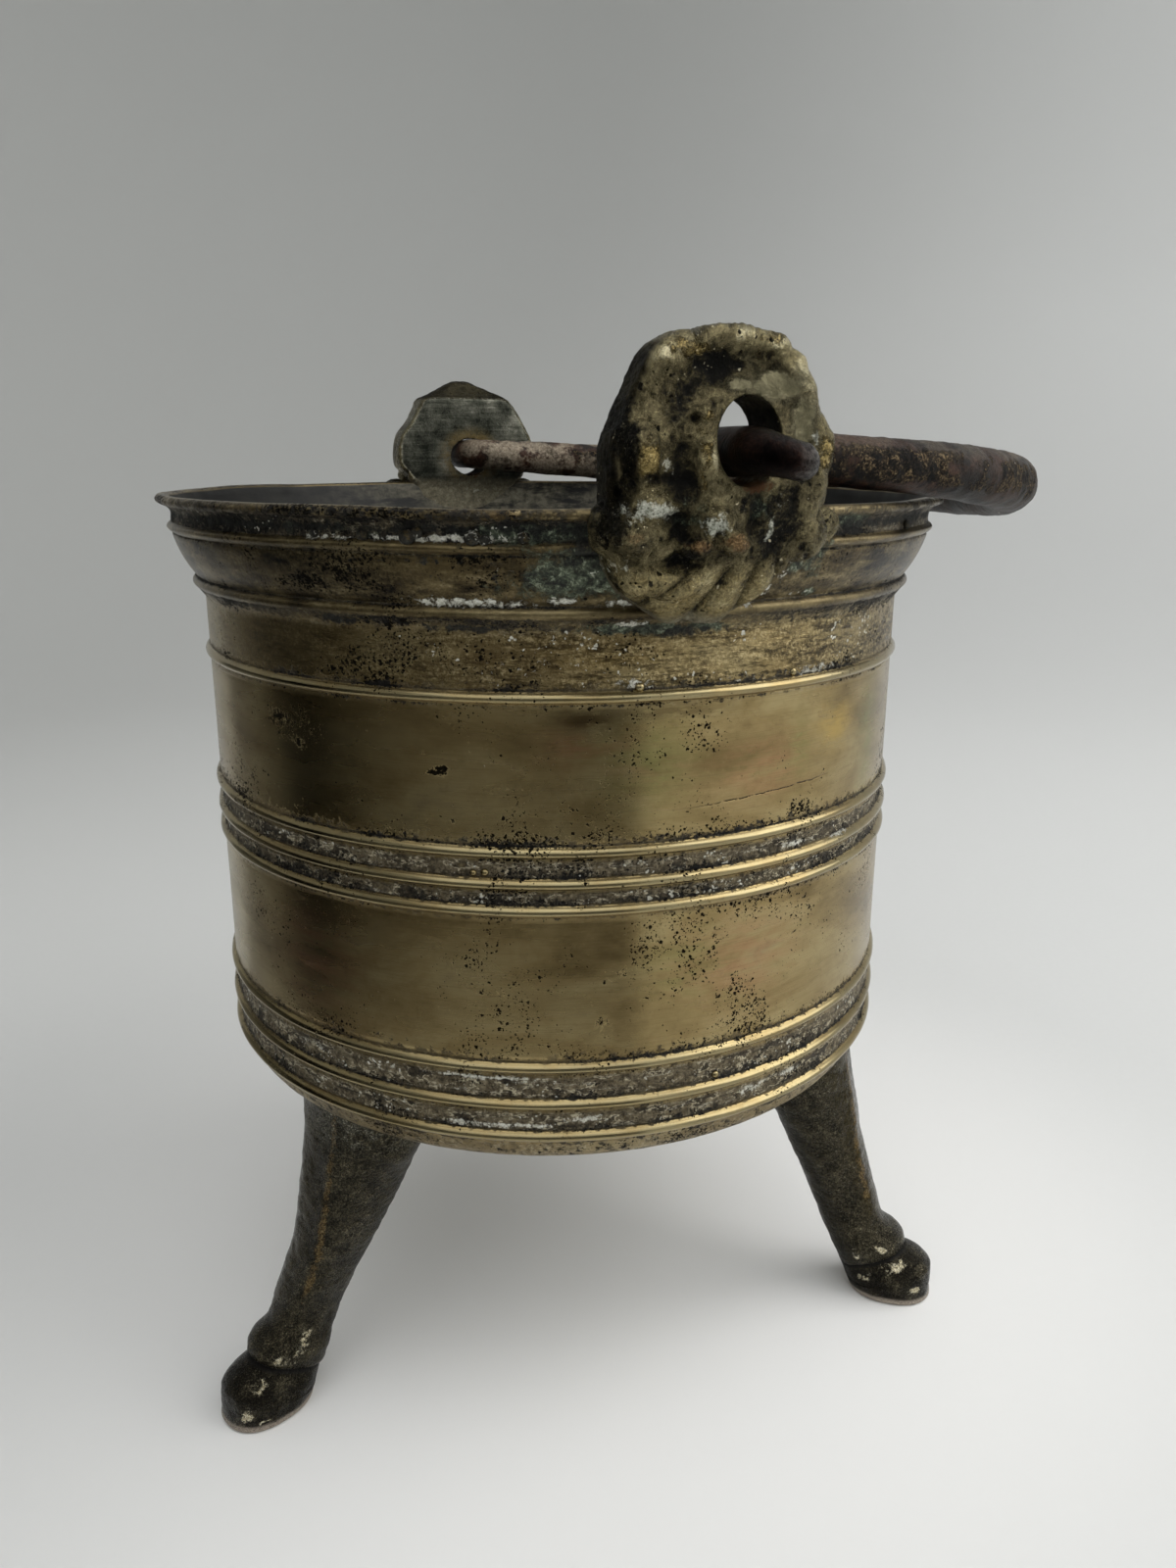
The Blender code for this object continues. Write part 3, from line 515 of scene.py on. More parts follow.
def agedBrass():
    f = Finish("agedTurnedBrass")
    fine = f.scaled()
    drawn = f.scaled(z=3600)
    ragged = f.warped(fine, 0.9, 1.6)
    inside, collar, groove, neck = [f.mark(name) for name in ("inside", "collar", "groove", "neck")]
    outside = 1.0 - inside
    grit = f.noise(fine, 1.3, 4, 0.75)
    haze = f.noise(fine, 0.5, 6, 0.7)
    lines = f.noise(f.scaled(160, 160, 9000), 0.55, 3, 0.7)
    broad = f.noise(drawn, 0.05, 4, 0.6)
    blotch = f.noise(drawn, 0.11, 5, 0.65)
    flake = f.noise(ragged, 0.7, 6, 0.75)

    cloud = f.noise(f.scaled(z=2300), 0.035, 5, 0.6, 0.4)
    f.tone = f.ramp(cloud, (0.3, 122, 105, 70), (0.47, 153, 134, 93), (0.6, 169, 152, 110), (0.75, 148, 133, 101))
    f.lay(f.mark("copper") * f.span(blotch, 0.32, 0.62) * 0.8, (168, 126, 94))
    f.lay(f.mark("olive") * f.span(blotch, 0.7, 0.36) * 0.9, (138, 136, 86))
    f.lay(f.mark("gold") * f.span(blotch, 0.3, 0.6), (186, 158, 92))
    f.lay(f.span(lines, 0.45, 0.75, 0.0, 0.25), (92, 77, 50))
    f.lay(f.span(haze, 0.5, 0.7, 0.0, 0.16), (84, 71, 46))
    f.lay(f.span(haze, 0.46, 0.32, 0.0, 0.14), (178, 159, 115))

    streak = f.noise(f.scaled(420, 420, 1900), 0.5, 6, 0.74)
    speckle = grit * 0.6 + streak * 0.4
    scoured = neck * f.span(f.noise(f.scaled(400, 400, 1100), 0.16, 5, 0.7), 0.34, 0.6, 0.25, 1.0)
    f.lay(scoured * 0.9, f.ramp(speckle, (0.41, 18, 15, 10), (0.46, 72, 62, 41), (0.52, 122, 107, 73),
                                (0.6, 198, 182, 140)))
    f.lay(neck * f.span(streak, 0.5, 0.36, 0.0, 0.75), (48, 40, 25))
    polish = f.mark("polish") * f.span(f.noise(drawn, 0.1, 5, 0.65), 0.32, 0.58, 0.2, 1.0)
    polish = polish * f.span(collar, 0.0, 1.0, 1.0, 0.45)
    f.lay(polish * 0.75, (150, 141, 110))

    collarCloud = f.noise(f.scaled(z=1700), 0.06, 5, 0.65)
    f.lay(collar * f.span(collarCloud, 0.3, 0.62, 0.6, 1.0) * (1.0 - polish),
          f.ramp(speckle * 0.5 + blotch * 0.5, (0.4, 18, 15, 11), (0.47, 58, 50, 35), (0.54, 98, 87, 62),
                 (0.63, 152, 138, 105)))
    # the inside is coloured near black, with paler scum patches
    insideTone = f.ramp(f.noise(fine, 0.09, 6, 0.62), (0.25, 10, 10, 9), (0.5, 19, 19, 17), (0.75, 36, 35, 31))
    insideTone = f.mix(f.mark("scum") * f.span(blotch, 0.36, 0.58), insideTone,
                    f.ramp(haze, (0.36, 66, 64, 52), (0.62, 128, 122, 104)))
    f.lay(inside, insideTone)

    # what has caked on in the grooves
    crust = groove * outside * f.span(haze, 0.3, 0.46, 0.6, 1.0)
    f.lay(crust, f.ramp(flake * 0.5 + speckle * 0.5, (0.39, 40, 35, 26), (0.46, 88, 78, 60), (0.52, 122, 111, 88),
                        (0.59, 160, 149, 122), (0.67, 216, 208, 184)))
    crater = f.noise(f.warped(f.scaled(480, 480, 1000), 0.8, 1.0), 0.34, 4, 0.62)
    eaten = groove * outside * f.span(crater, 0.53, 0.57) * f.span(broad, 0.36, 0.58, 0.3, 1.0)
    f.lay(eaten * 0.85, f.ramp(grit, (0.42, 26, 22, 16), (0.64, 78, 68, 52)))
    edged = groove * outside * f.span(abs(crater - 0.545), 0.028, 0.01) * f.span(flake, 0.44, 0.52)
    f.lay(edged * 0.85, (214, 204, 176))
    laid = f.noise(f.scaled(110, 110, 1500), 0.5, 6, 0.74)
    soot = groove * outside * f.span(laid, 0.57, 0.65)
    f.lay(soot * 0.9, f.ramp(grit, (0.42, 16, 14, 11), (0.66, 60, 54, 43)))
    scale = groove * outside * f.span(laid, 0.43, 0.37) * f.span(flake, 0.42, 0.54)
    f.lay(scale * 0.85, f.ramp(grit, (0.4, 120, 114, 96), (0.6, 206, 201, 184)))
    grime = f.torn("grime", f.noise(ragged, 0.6, 5, 0.75), 2.8, 0.5, 0.74)
    grime = grime * f.span(broad, 0.34, 0.58, 0.35, 1.0)
    f.lay(grime * 0.94, f.ramp(grit, (0.4, 18, 16, 12), (0.58, 46, 41, 32), (0.7, 120, 113, 96)))
    smear = f.mark("smear") * f.span(blotch, 0.3, 0.5)
    f.lay(smear * 0.85, (58, 41, 19))

    pitted = f.mark("pits") * f.span(f.noise(fine, 0.14, 4, 0.65), 0.32, 0.58)
    nearBead = f.mark("grime") * f.span(broad, 0.38, 0.58) * 0.46
    share = pitted * 0.46 + nearBead + f.span(f.noise(fine, 0.05, 4, 0.65), 0.4, 0.66) * 0.33 * outside
    hollow = f.specks(f.warped(fine, 0.8, 2.2), 0.55, share * 0.62)          # pits of three sizes
    hollow = hollow | f.specks(f.warped(fine, 1.6, 1.1), 1.25, share * 1.3)
    hollow = hollow | f.specks(f.warped(fine, 2.6, 0.7), 2.3, share * 1.35)
    hollow = hollow | f.torn("blot", flake, 2.0, 0.55, 0.68)
    f.lay(hollow * 0.97, (17, 15, 11))
    waver = f.mark("crack") + (f.noise(fine, 0.25, 4, 0.6) - 0.5) * 0.16
    crack = f.mark("crackSpan") * f.span(abs(waver - 0.5), 0.028, 0.012) * f.span(haze, 0.38, 0.48)
    f.lay(crack * 0.85, (34, 28, 19))

    green = f.torn("green", f.noise(ragged, 0.24, 6, 0.72), 2.0, 0.45, 0.8)
    f.lay(green * 0.92, f.ramp(flake, (0.34, 14, 16, 14), (0.45, 44, 50, 41), (0.55, 92, 102, 82),
                               (0.64, 168, 178, 152)))
    tar = f.torn("tar", f.noise(ragged, 0.34, 6, 0.75), 2.2, 0.5, 0.74)
    f.lay(tar * 0.92, f.ramp(grit, (0.45, 12, 13, 12), (0.68, 54, 56, 48)))
    lime = f.torn("lime", flake, 2.4, 0.62, 0.8)
    dust = f.span(f.noise(fine, 0.07, 4, 0.65), 0.42, 0.62)
    speck = f.specks(ragged, 1.2, (neck * 0.95 | groove) * dust * outside * 0.52)
    lime = lime | speck * 0.9
    f.lay(lime, f.ramp(grit, (0.36, 176, 174, 156), (0.5, 220, 218, 204), (0.62, 240, 239, 230)))

    dull = grime * 0.8 | crust * 0.55 | (lime | (green | tar))
    aged = (collar | neck) * (1.0 - polish) * 0.1
    metallic = 1.0 - (dull * 0.95 | aged | inside * 0.8)
    gloss = f.span(f.noise(drawn, 0.04, 3, 0.5), 0.3, 0.7, 0.25, 0.3)
    gloss = f.blend(polish, gloss, 0.17)
    gloss = f.blend((collar * 0.6 | scoured) * 0.7, gloss, 0.42)
    gloss = f.blend(inside, gloss, 0.66)
    gloss = f.blend(dull | hollow, gloss, 0.8)

    f.bump(lines, 0.00004, 0.4)
    f.bump(haze, 0.0001, 0.07)
    f.bump(1.0 - (hollow | crack), 0.00018, 0.6)
    rough = crust * 0.6 | grime | (scoured * 0.6 | collar * 0.2)
    f.bump(rough * speckle, 0.0012, 0.8)
    f.bump((lime | crust | (green | tar)) * flake, 0.0009, 0.8)
    return f.done(gloss, metallic, brushed=0.55)


# the cast legs
legs = {
    # height at the outer edge, inner edge at that height, outer edge, half width
    "stations": [(0, 87.4, 107.8, 8.4), (0.5, 86.8, 108.7, 9), (3.4, 85.2, 108.75, 9.5), (6.2, 84, 108.75, 9.5),
                 (8.8, 82.8, 108.6, 9.3), (11, 81.8, 107, 9), (12.6, 81, 104.4, 8.5), (13.4, 80.6, 102, 7.9),
                 (13.9, 80.3, 100.7, 7.5), (15, 79.9, 101.3, 8.6), (16.8, 79.1, 100.9, 9.2), (18.6, 78.2, 99.3, 9.1),
                 (20.1, 77.5, 96.6, 8.4), (21.8, 76.8, 95, 7.8), (29, 73.8, 92.7, 8), (34.6, 71.6, 90.9, 8.5),
                 (45.8, 66.4, 87.7, 9.9), (52.5, 63.4, 86.4, 11), (59.2, 60.2, 85, 12.3), (65.7, 56.6, 83.7, 14),
                 (70.7, 53, 82.9, 15.6), (76, 50, 82.6, 17), (82, 49, 82.7, 17.8)],
    "ringTilt": 0.33,       # the rings lie square across the splayed leg
    "sides": 96, "levels": 250, "square": 2.3, "keel": 0.7, "top": 82,
    # heights over which one part runs into the next, and of the worn places and creases
    "shankFrom": (22, 30), "shankTo": (80, 60), "root": (66, 74), "hoof": (15.0, 12.5), "sole": (2.4, 1.4),
    "ringWear": 17.0, "hoofWear": 9.0, "creases": (13.9, 21.6),
    "names": ("leg_left", "leg_right", "leg_rear"), "turns": (-65.6, 54.4, 174.4),
    "bows": ([(0, 0), (20, 0.3), (45, 4.8), (65, 6), (82, 6.6)], [(0, 0), (82, 0)], [(0, 0), (82, 0)]),
    "keelAt": (6, -5.5, 0.5),
    "strips": ((-0.75, 0.66), (0.1, 1), (0.5, 0.7)),       # which way the smooth strip faces: sideways, outwards
    # painted highlights (glints): round the leg from its right side, height, half widths, strength
    "glints": [[(20, 20, 14, 4.6, 0.8), (42, 16.8, 24, 1.8, 0.84), (52, 4.8, 13, 2.6, 0.95), (30, 2.8, 14, 1, 0.8),
                (48, 12, 18, 1.8, 0.78), (72, 12.6, 10, 1.4, 0.55), (15, 33, 8, 4, 0.42), (0, 52, 9, 7, 0.45)],
               [(188, 17, 15, 2.6, 0.8), (150, 17.6, 13, 2.2, 0.84), (150, 12.6, 34, 1.2, 0.76),
                (140, 5.2, 14, 2, 0.95), (200, 12, 16, 1.2, 0.7)],
               [(60, 17.5, 25, 1.6, 0.8), (110, 6, 20, 2.5, 0.8)]],
    # sideways, outwards from the wall, height, radius, how far it stands out
    "lumps": [[(9.3, 6, 7.5, 3, 1.3), (14, -16, 67, 5, 2.2), (13, -20, 55, 5, 0.6), (-3, 21, 11, 4, 0.25)],
              [(-9, 3, 18.5, 3.5, 0.9), (-3, 12, 19, 4, 0.6), (-9, 10, 9, 4, 0.4)],
              [(8.5, 4, 18, 3.5, 0.8), (-9, 8, 8, 4, 0.6)]],
}


def underside(reach):
    # the shell's outer face under the base, at a distance from the axis
    k = SimpleNamespace(**kettle)
    turnIn = k.wall - k.cornerInset - k.corner
    flat = turnIn + 1.8
    drop = k.cornerHeight - np.sqrt(np.maximum(k.corner ** 2 - (reach - turnIn) ** 2, 0))
    edge = k.cornerHeight - math.sqrt(k.corner ** 2 - 1.8 ** 2)
    return np.where(reach < flat, edge - k.sag * (1 - (reach / flat) ** 2), drop)


def makeLeg(number, seed, material):
    name, bow, keelAt = legs["names"][number], legs["bows"][number], legs["keelAt"][number]
    stripSide, stripOut = legs["strips"][number]
    table, sides = legs["stations"], legs["sides"]
    levels = np.linspace(0, legs["top"], legs["levels"])
    innerLine, outerLine, halfLine = [[(s[0], s[c]) for s in table] for c in (1, 2, 3)]
    inner, outer, half = [through(line, levels) for line in (innerLine, outerLine, halfLine)]
    around, across, along = squareRing(sides, legs["square"])
    inShare = (1 - along)[None, :] / 2
    tilt = legs["ringTilt"] * smoothStep(2, 12, levels) * smoothStep(legs["top"], 60, levels)
    height = levels[:, None] - (tilt * (outer - inner))[:, None] * inShare
    innerHere = through(innerLine, height.ravel()).reshape(height.shape)
    sideways = half[:, None] * across[None, :]
    outwards = outer[:, None] - (outer[:, None] - innerHere) * inShare
    shank = smoothStep(*legs["shankFrom"], height) * smoothStep(*legs["shankTo"], height)
    front = np.clip(along, 0, 1)[None, :]
    outwards = outwards + legs["keel"] * shank * np.exp(-((sideways - keelAt) / 2.0) ** 2) * front
    flat = np.stack([sideways.ravel(), outwards.ravel(), height.ravel()], axis=1)
    middle = np.repeat((outer + inner) / 2, sides)
    away = np.stack([flat[:, 0], flat[:, 1] - middle], axis=1)
    away /= np.maximum(np.hypot(away[:, 0], away[:, 1]), 1e-6)[:, None]
    skin = layeredNoise(flat, 2.4, 3, seed + 9)
    dents = np.clip(layeredNoise(flat, 1.5, 2, seed + 3) - 0.45, 0, 1)
    lumps = 0.16 * layeredNoise(flat, 10, 2, seed) - 0.34 + 0.15 * skin - 0.22 * dents
    for x, out, level, size, lift in legs["lumps"][number]:
        near = np.linalg.norm(flat - (x, out + kettle["wall"], level), axis=1)
        lumps += lift * np.exp(-(near / size) ** 2)
    flat[:, :2] += away * (lumps * smoothStep(0.4, 2.5, flat[:, 2]))[:, None]
    angle = math.radians(legs["turns"][number])
    aside = flat[:, 0] + through(bow, flat[:, 2])
    points = np.stack([aside * math.cos(angle) + flat[:, 1] * math.sin(angle),
                       aside * math.sin(angle) - flat[:, 1] * math.cos(angle), flat[:, 2]], axis=1)
    ceiling = underside(np.hypot(points[:, 0], points[:, 1])) + kettle["thickness"] / 2
    points[:, 2] = np.minimum(points[:, 2], ceiling)          # the leg ends inside the shell

    ringAt = np.repeat(levels, sides)
    turned, facing, bearing = [np.tile(ring, len(levels)) for ring in (across, along, np.degrees(around))]
    worn = spot(ringAt, 0, legs["ringWear"], 0, 1.8, 1) + 0.35 * spot(ringAt, 0, legs["hoofWear"], 0, 3.2, 1)
    worn = worn * (0.35 + 0.65 * np.clip(facing, 0, 1))
    worn = 0.7 * worn * (0.60 + 1.0 * layeredNoise(flat, 5, 2, seed + 4))
    # the painted highlights (glints) join the worn mark, which also holds the real wear on the rings
    for at, level, halfA, halfH, strength in legs["glints"][number]:
        worn = np.maximum(worn, strength * spot(turnsApart(bearing, at), ringAt, 0, level, halfA, halfH))
    keel = smoothStep(24, 34, ringAt) * smoothStep(0.1, 0.6, facing) * spot(sideways.ravel(), 0, keelAt, 0, 1.2, 1)
    strip = smoothStep(0.30, 0.80, stripSide * turned + stripOut * facing)
    low, high = legs["creases"]
    marks = {"worn": worn, "strip": smoothStep(20, 28, ringAt) * strip, "keel": keel,
             "soot": smoothStep(0.2, -0.6, facing), "root": smoothStep(*legs["root"], flat[:, 2]),
             "crease": 0.8 * spot(ringAt, 0, low, 0, 0.7, 1) + spot(ringAt, 0, high, 0, 0.8, 1) * 0.4,
             "sole": smoothStep(*legs["sole"], flat[:, 2]), "hoof": smoothStep(*legs["hoof"], ringAt),
             "rough": np.clip(0.5 + 0.5 * skin, 0, 1)}
    faces = gridFaces(legs["levels"], sides, True)
    piece = meshPiece("cast" + name.title().replace("_", ""), points, faces, marks)
    finishPiece(piece, name, "vessel", material)


def castLegBrass():
    f = Finish("castLegBrass")
    fine = f.scaled()
    ragged = f.warped(fine, 0.9, 1.6)
    skin = f.noise(ragged, 1.1, 5, 0.7)
    grit = f.noise(fine, 2.6, 4, 0.76)
    grain = skin * 0.36 + (grit * 0.56 + f.mark("rough") * 0.08)
    f.tone = f.ramp(grain, (0.4, 16, 15, 12), (0.48, 46, 43, 34), (0.55, 74, 69, 55), (0.62, 110, 103, 83),
                    (0.68, 196, 187, 160))
    soot = f.mark("soot") * f.span(f.noise(fine, 0.12, 5, 0.6), 0.25, 0.55, 0.3, 1.0)
    f.lay(soot * 0.5, (30, 29, 25))
    strip = f.mark("strip") * f.span(f.noise(f.scaled(z=420), 0.14, 5, 0.65), 0.26, 0.48)
    f.lay(strip * 0.85, f.ramp(grit * 0.5 + skin * 0.5, (0.36, 28, 24, 14), (0.5, 54, 47, 29), (0.66, 84, 76, 52)))
    veins = f.span(f.cells(ragged, 1.1), 0.62, 0.86)
    f.lay(veins * 0.25 * (1.0 - strip), (18, 16, 13))
    hoof = f.mark("hoof") * f.span(f.noise(ragged, 0.22, 5, 0.7), 0.36, 0.52)
    f.lay(hoof * 0.75, f.ramp(grit, (0.42, 8, 7, 6), (0.64, 34, 31, 25)))
    keel = f.torn("keel", f.noise(ragged, 0.4, 5, 0.74), 3.0, 0.66, 0.92)
    f.lay(keel * 0.65, f.ramp(grit, (0.4, 62, 46, 26), (0.56, 128, 106, 68), (0.68, 186, 170, 126)))
    scuff = f.span(f.noise(ragged, 0.3, 6, 0.75), 0.6, 0.68) * f.span(grit, 0.46, 0.58)
    # worn: real wear on the rings and scuffs, with the painted highlights (glints), laid pale
    worn = f.torn("worn", f.noise(ragged, 0.55, 6, 0.76), 2.4, 0.6, 0.8)
    worn = worn | scuff * 0.4
    f.lay(worn, f.ramp(grit, (0.4, 150, 138, 106), (0.54, 206, 198, 170), (0.66, 236, 232, 216)))
    holes = f.specks(ragged, 1.0, f.span(f.noise(fine, 0.1, 3, 0.6), 0.42, 0.66, 0.05, 0.44))
    f.lay(holes * 0.95, (11, 10, 8))
    crease = f.torn("crease", grit, 0.7, 0.35, 0.75)
    f.lay(crease, (14, 12, 10))
    root = f.mark("root") * f.span(f.noise(ragged, 0.25, 5, 0.7), 0.42, 0.58)
    f.lay(root * 0.85, f.ramp(grit, (0.4, 18, 18, 15), (0.54, 84, 82, 70), (0.64, 196, 192, 172)))
    sole = f.mark("sole") * f.span(skin, 0.25, 0.45)
    f.lay(sole * 0.9, (166, 155, 142))
    dull = soot * 0.4 | (crease | root * 0.8)
    metallic = f.span(dull, 0.0, 1.0, 0.88, 0.15) | worn * 0.95
    gloss = f.blend(worn, f.span(grit, 0.3, 0.7, 0.19, 0.31), 0.16)
    gloss = f.blend(strip, gloss, 0.24)
    gloss = f.blend(dull, gloss, 0.62)
    f.bump(skin * f.span(strip, 0.0, 1.0, 1.0, 0.15), 0.0008, 0.5)
    f.bump(grit * f.span(strip, 0.0, 1.0, 1.0, 0.15), 0.00026, 0.6)
    f.bump(1.0 - (holes | veins * 0.5), 0.0004, 0.9)
    f.bump(worn, 0.0003, 0.8)
    return f.done(gloss, metallic, 0.2)


# the cast-on ears
nearEar = {
    # height from the lip, left edge, right edge, outer face, inner face
    "stations": [(-21.2, -7.5, 3, 89.6, 86), (-18, -13.5, 7, 92.8, 86.6), (-14, -19, 11, 95.8, 87.4),
                 (-10, -21.5, 14, 98.4, 88.2), (-5, -22.3, 16.8, 100.3, 88.5), (0, -22.5, 18.6, 101, 88.5),
                 (5, -22.8, 19.8, 101, 88.5), (9, -22.8, 21.2, 100.8, 88.5), (12, -22.2, 21.2, 100.7, 88.5),
                 (14.5, -20.8, 19.4, 100.6, 88.5), (18, -19.3, 17.2, 100.4, 88.5), (22, -17.6, 15.2, 100.2, 88.6),
                 (25, -16.2, 13.1, 100.2, 88.8), (27.2, -14.6, 10.8, 100.1, 89.6), (28.9, -11.6, 7.6, 99.9, 91),
                 (30, -7, 4, 99.6, 92.6), (30.5, -3, 1, 99.2, 94.4)],
    # across, height, half width and half height of the hole; which side of the vessel; how square the lug is
    "hole": (2.5, 11.4, 6.2, 7.75), "side": -1, "square": 5,
    # lumps: across, height, outwards, radii
    "lumps": [(-17.6, 9, 99.4, 3.6, 6, 4.4), (-15.6, 0.4, 98.8, 5.6, 3.4, 3.6), (-18.6, -4.6, 99, 4.4, 3.6, 4),
              (-3.4, -2.4, 100, 4.2, 3.4, 3), (-6.6, 8, 98.6, 2.6, 8, 3.4), (-7.2, -6.2, 99.8, 3.8, 2.6, 3),
              (0.2, -5.8, 99.8, 3.8, 2.6, 3), (-21, -3.4, 93.6, 4, 5, 3.6), (15, -4.6, 96, 6.4, 5.6, 3.8),
              (20, -3.6, 91.6, 7, 3.6, 2.6), (18.2, 9.6, 96.2, 3, 5.4, 4), (16.8, 4, 96.6, 3.6, 5.6, 4),
              (-10.6, -12.8, 95.8, 6.2, 3.2, 3), (-16, -11.6, 95.6, 4.4, 3.4, 3)],
    "notch": -7.3,          # a groove over the top
    # carving: across, height, half widths, how far it stands out (or in)
    "carving": [(-13.4, 25, 2.6, 1.6, 1.1), (-9.6, 26.8, 3, 1.4, 1.2), (1.5, 28.6, 3.4, 1.5, 1),
                (7.6, 27.6, 3, 1.7, 1.2), (12, 24, 1.8, 2.8, 1.2), (14.6, 19.4, 1.6, 3.2, 1.1),
                (-4.4, 24, 5, 3.2, -1.3), (-9.5, 19.5, 3.4, 3.6, -0.9), (5.6, 24, 4.6, 1.8, -0.5),
                (-5.9, 15.6, 1.6, 1.5, 1.1), (-7.8, 15.2, 0.8, 0.8, -1), (-5, 8.6, 1.6, 4, 0.9),
                (-10.4, 6, 2.6, 5, -1.2), (-10.2, -3.6, 2.2, 2.6, -1.5), (-9.6, -9.6, 3.6, 1.3, -1.5),
                (-3.6, -4, 1, 2, -0.9), (8, 1, 5, 3, -0.9), (9.5, -6, 5, 4, -1), (-22.5, 2.5, 2, 2, -1.2),
                (13.6, 8, 2.6, 4, -0.7), (-15.4, 5, 4.6, 0.9, -0.8), (-12.5, -1.4, 3, 0.8, -0.7),
                (4, -2.5, 1.4, 3, -0.8)],
}
farEar = {
    "stations": [(-21.2, -5.5, 5, 89.6, 86), (-14, -14, 13.5, 95.8, 87.4), (-8, -15.6, 16, 99.2, 88.8),
                 (-2, -16, 18, 100.8, 89.4), (2, -17.8, 20.4, 101, 88.5), (6, -20.6, 23, 101, 88.5),
                 (10, -20.6, 23.8, 100.8, 88.5), (14, -19.6, 22.6, 100.7, 88.5), (18.2, -16.4, 20.4, 100.5, 88.5),
                 (22, -14.2, 18.2, 100.3, 88.5), (25.2, -12.2, 15.4, 100.2, 88.6), (26, -10.8, 13.8, 100.2, 89.4),
                 (28.2, -6.2, 8.6, 100, 91.6), (30.2, -2.2, 4.2, 99.5, 93.6), (30.8, -0.8, 2.6, 99.3, 94.4)],
    "hole": (2.3, 7.6, 6.2, 5.55), "side": 1, "square": 9,
    "lumps": [(-19, -3.4, 92, 6, 3, 2), (-8, -5, 91.4, 11, 5.2, 2.4), (3, -5.8, 91.6, 7, 4.8, 2.2),
              (-14, 2, 100.2, 4.8, 4.2, 3.4), (13.5, 1, 100.2, 5, 4, 3.4), (-3, -7, 99.4, 6, 3, 3.2),
              (7, -8.6, 98.4, 4.4, 2.6, 3), (21.5, -2.2, 96.4, 4.4, 3, 3.2), (-20.5, -2.2, 96.6, 4.6, 3, 3.4)],
    "carving": [(-10, 24, 3.6, 2, 0.9), (10.5, 24, 3.6, 2, 0.9), (0, 20, 6, 3, -0.9), (-12, 12, 3, 4, 0.8),
                (14, 13, 3, 4, 0.8), (-6, -12, 1.4, 4, -0.9), (0, -13, 1.4, 4, 0.8), (6, -12, 1.4, 4, -0.8)],
}
earDetail = {"voxel": 0.38, "sides": 96, "levels": 120, "flutes": 0.85, "cast": 0.24, "carve": 1.25,
             "holeSides": 40, "drilled": (80.0, 112.0),
             "leafFrom": (-8.5, -12.5), "fanFrom": (7.0, 1.0), "fanCount": 8.0}
# across, height from the lip, half widths, strength
earStains = {
    "nearLug": {
        "brass": [(-17.8, 8.6, 3.2, 4.4, 1), (-6.4, 7.6, 1.8, 7, 0.75), (-10, 26.4, 6, 1.6, 0.9),
                  (8, 28, 7, 1.4, 0.7), (18.4, 9.6, 2.6, 4, 0.9), (3.4, 26, 2, 2, 0.6), (-5.9, 15.6, 1.8, 1.6, 0.7),
                  (-8, -16, 10, 4, 0.55), (10, -6, 6, 5, 0.5)],
        "lime": [(-16, -0.3, 6.4, 2.6, 0.85), (-4, -2.8, 3.4, 2.8, 0.85), (-20.5, -9.5, 3, 3, 0.5),
                 (-12.5, 7, 2.6, 4.5, 0.6), (7.6, -4.4, 1.2, 3.4, 0.8), (9, 1, 2, 3, 0.5), (16, 12, 1.6, 2.5, 0.55)],
        "green": [(-9, -1, 7, 4, 0.6), (5, 0, 4, 4, 0.8), (-24, -4, 4, 3, 0.5)],
        "copper": [(-7.2, -6.2, 2.8, 1.8, 1), (0.2, -5.8, 3, 1.9, 1), (-20, -5, 3, 2, 0.6)],
        "rust": [(4, 3.8, 4, 1.6, 0.9), (-1.8, -5, 1.4, 1.4, 0.4)],
        "grey": [(7.5, 20.6, 7, 3.2, 1), (0.5, 20.8, 4, 1.6, 0.9), (13, 14.6, 3.2, 7, 0.9)],
        # black: painted shade on the lug's left part and under the hook, with dark patina in its hollows
        "black": [(-20.6, 14, 2.6, 14, 0.9), (-10.6, 10, 2.6, 7, 0.44), (-13, 20, 3, 4, 0.42), (-6, 23, 6, 2.4, 0.4),
                  (-9.4, -8.4, 3.4, 2.4, 1), (-22.6, -2, 2.6, 6, 1), (3, 0.4, 5.6, 2.6, 0.72), (6, 26, 3, 1.4, 0.55),
                  (-13, -5, 5, 1.2, 0.7), (16.4, 20, 1.2, 5, 0.4)],
    },
    "farLug": {
        "brass": [(2.3, 7.6, 10, 8, 0.55), (-5, -2, 12, 3, 0.6)],
        "lime": [(2, -2.5, 6, 2, 0.5), (-18, -2, 8, 2, 0.3), (-8, -14, 5, 3, 0.6)],
        "green": [(8, -12, 8, 5, 0.6)],
        "copper": [(0, -8, 6, 2, 0.6)],
        "rust": [(4, 2, 3, 1.2, 0.6)],
        "grey": [(0, 16, 30, 14, 0.9)],
        "black": [],
    },
}


def evaluatedMesh(piece):
    bpy.context.view_layer.update()
    graph = bpy.context.evaluated_depsgraph_get()
    mesh = bpy.data.meshes.new_from_object(piece.evaluated_get(graph))
    bpy.data.objects.remove(piece)
    return mesh


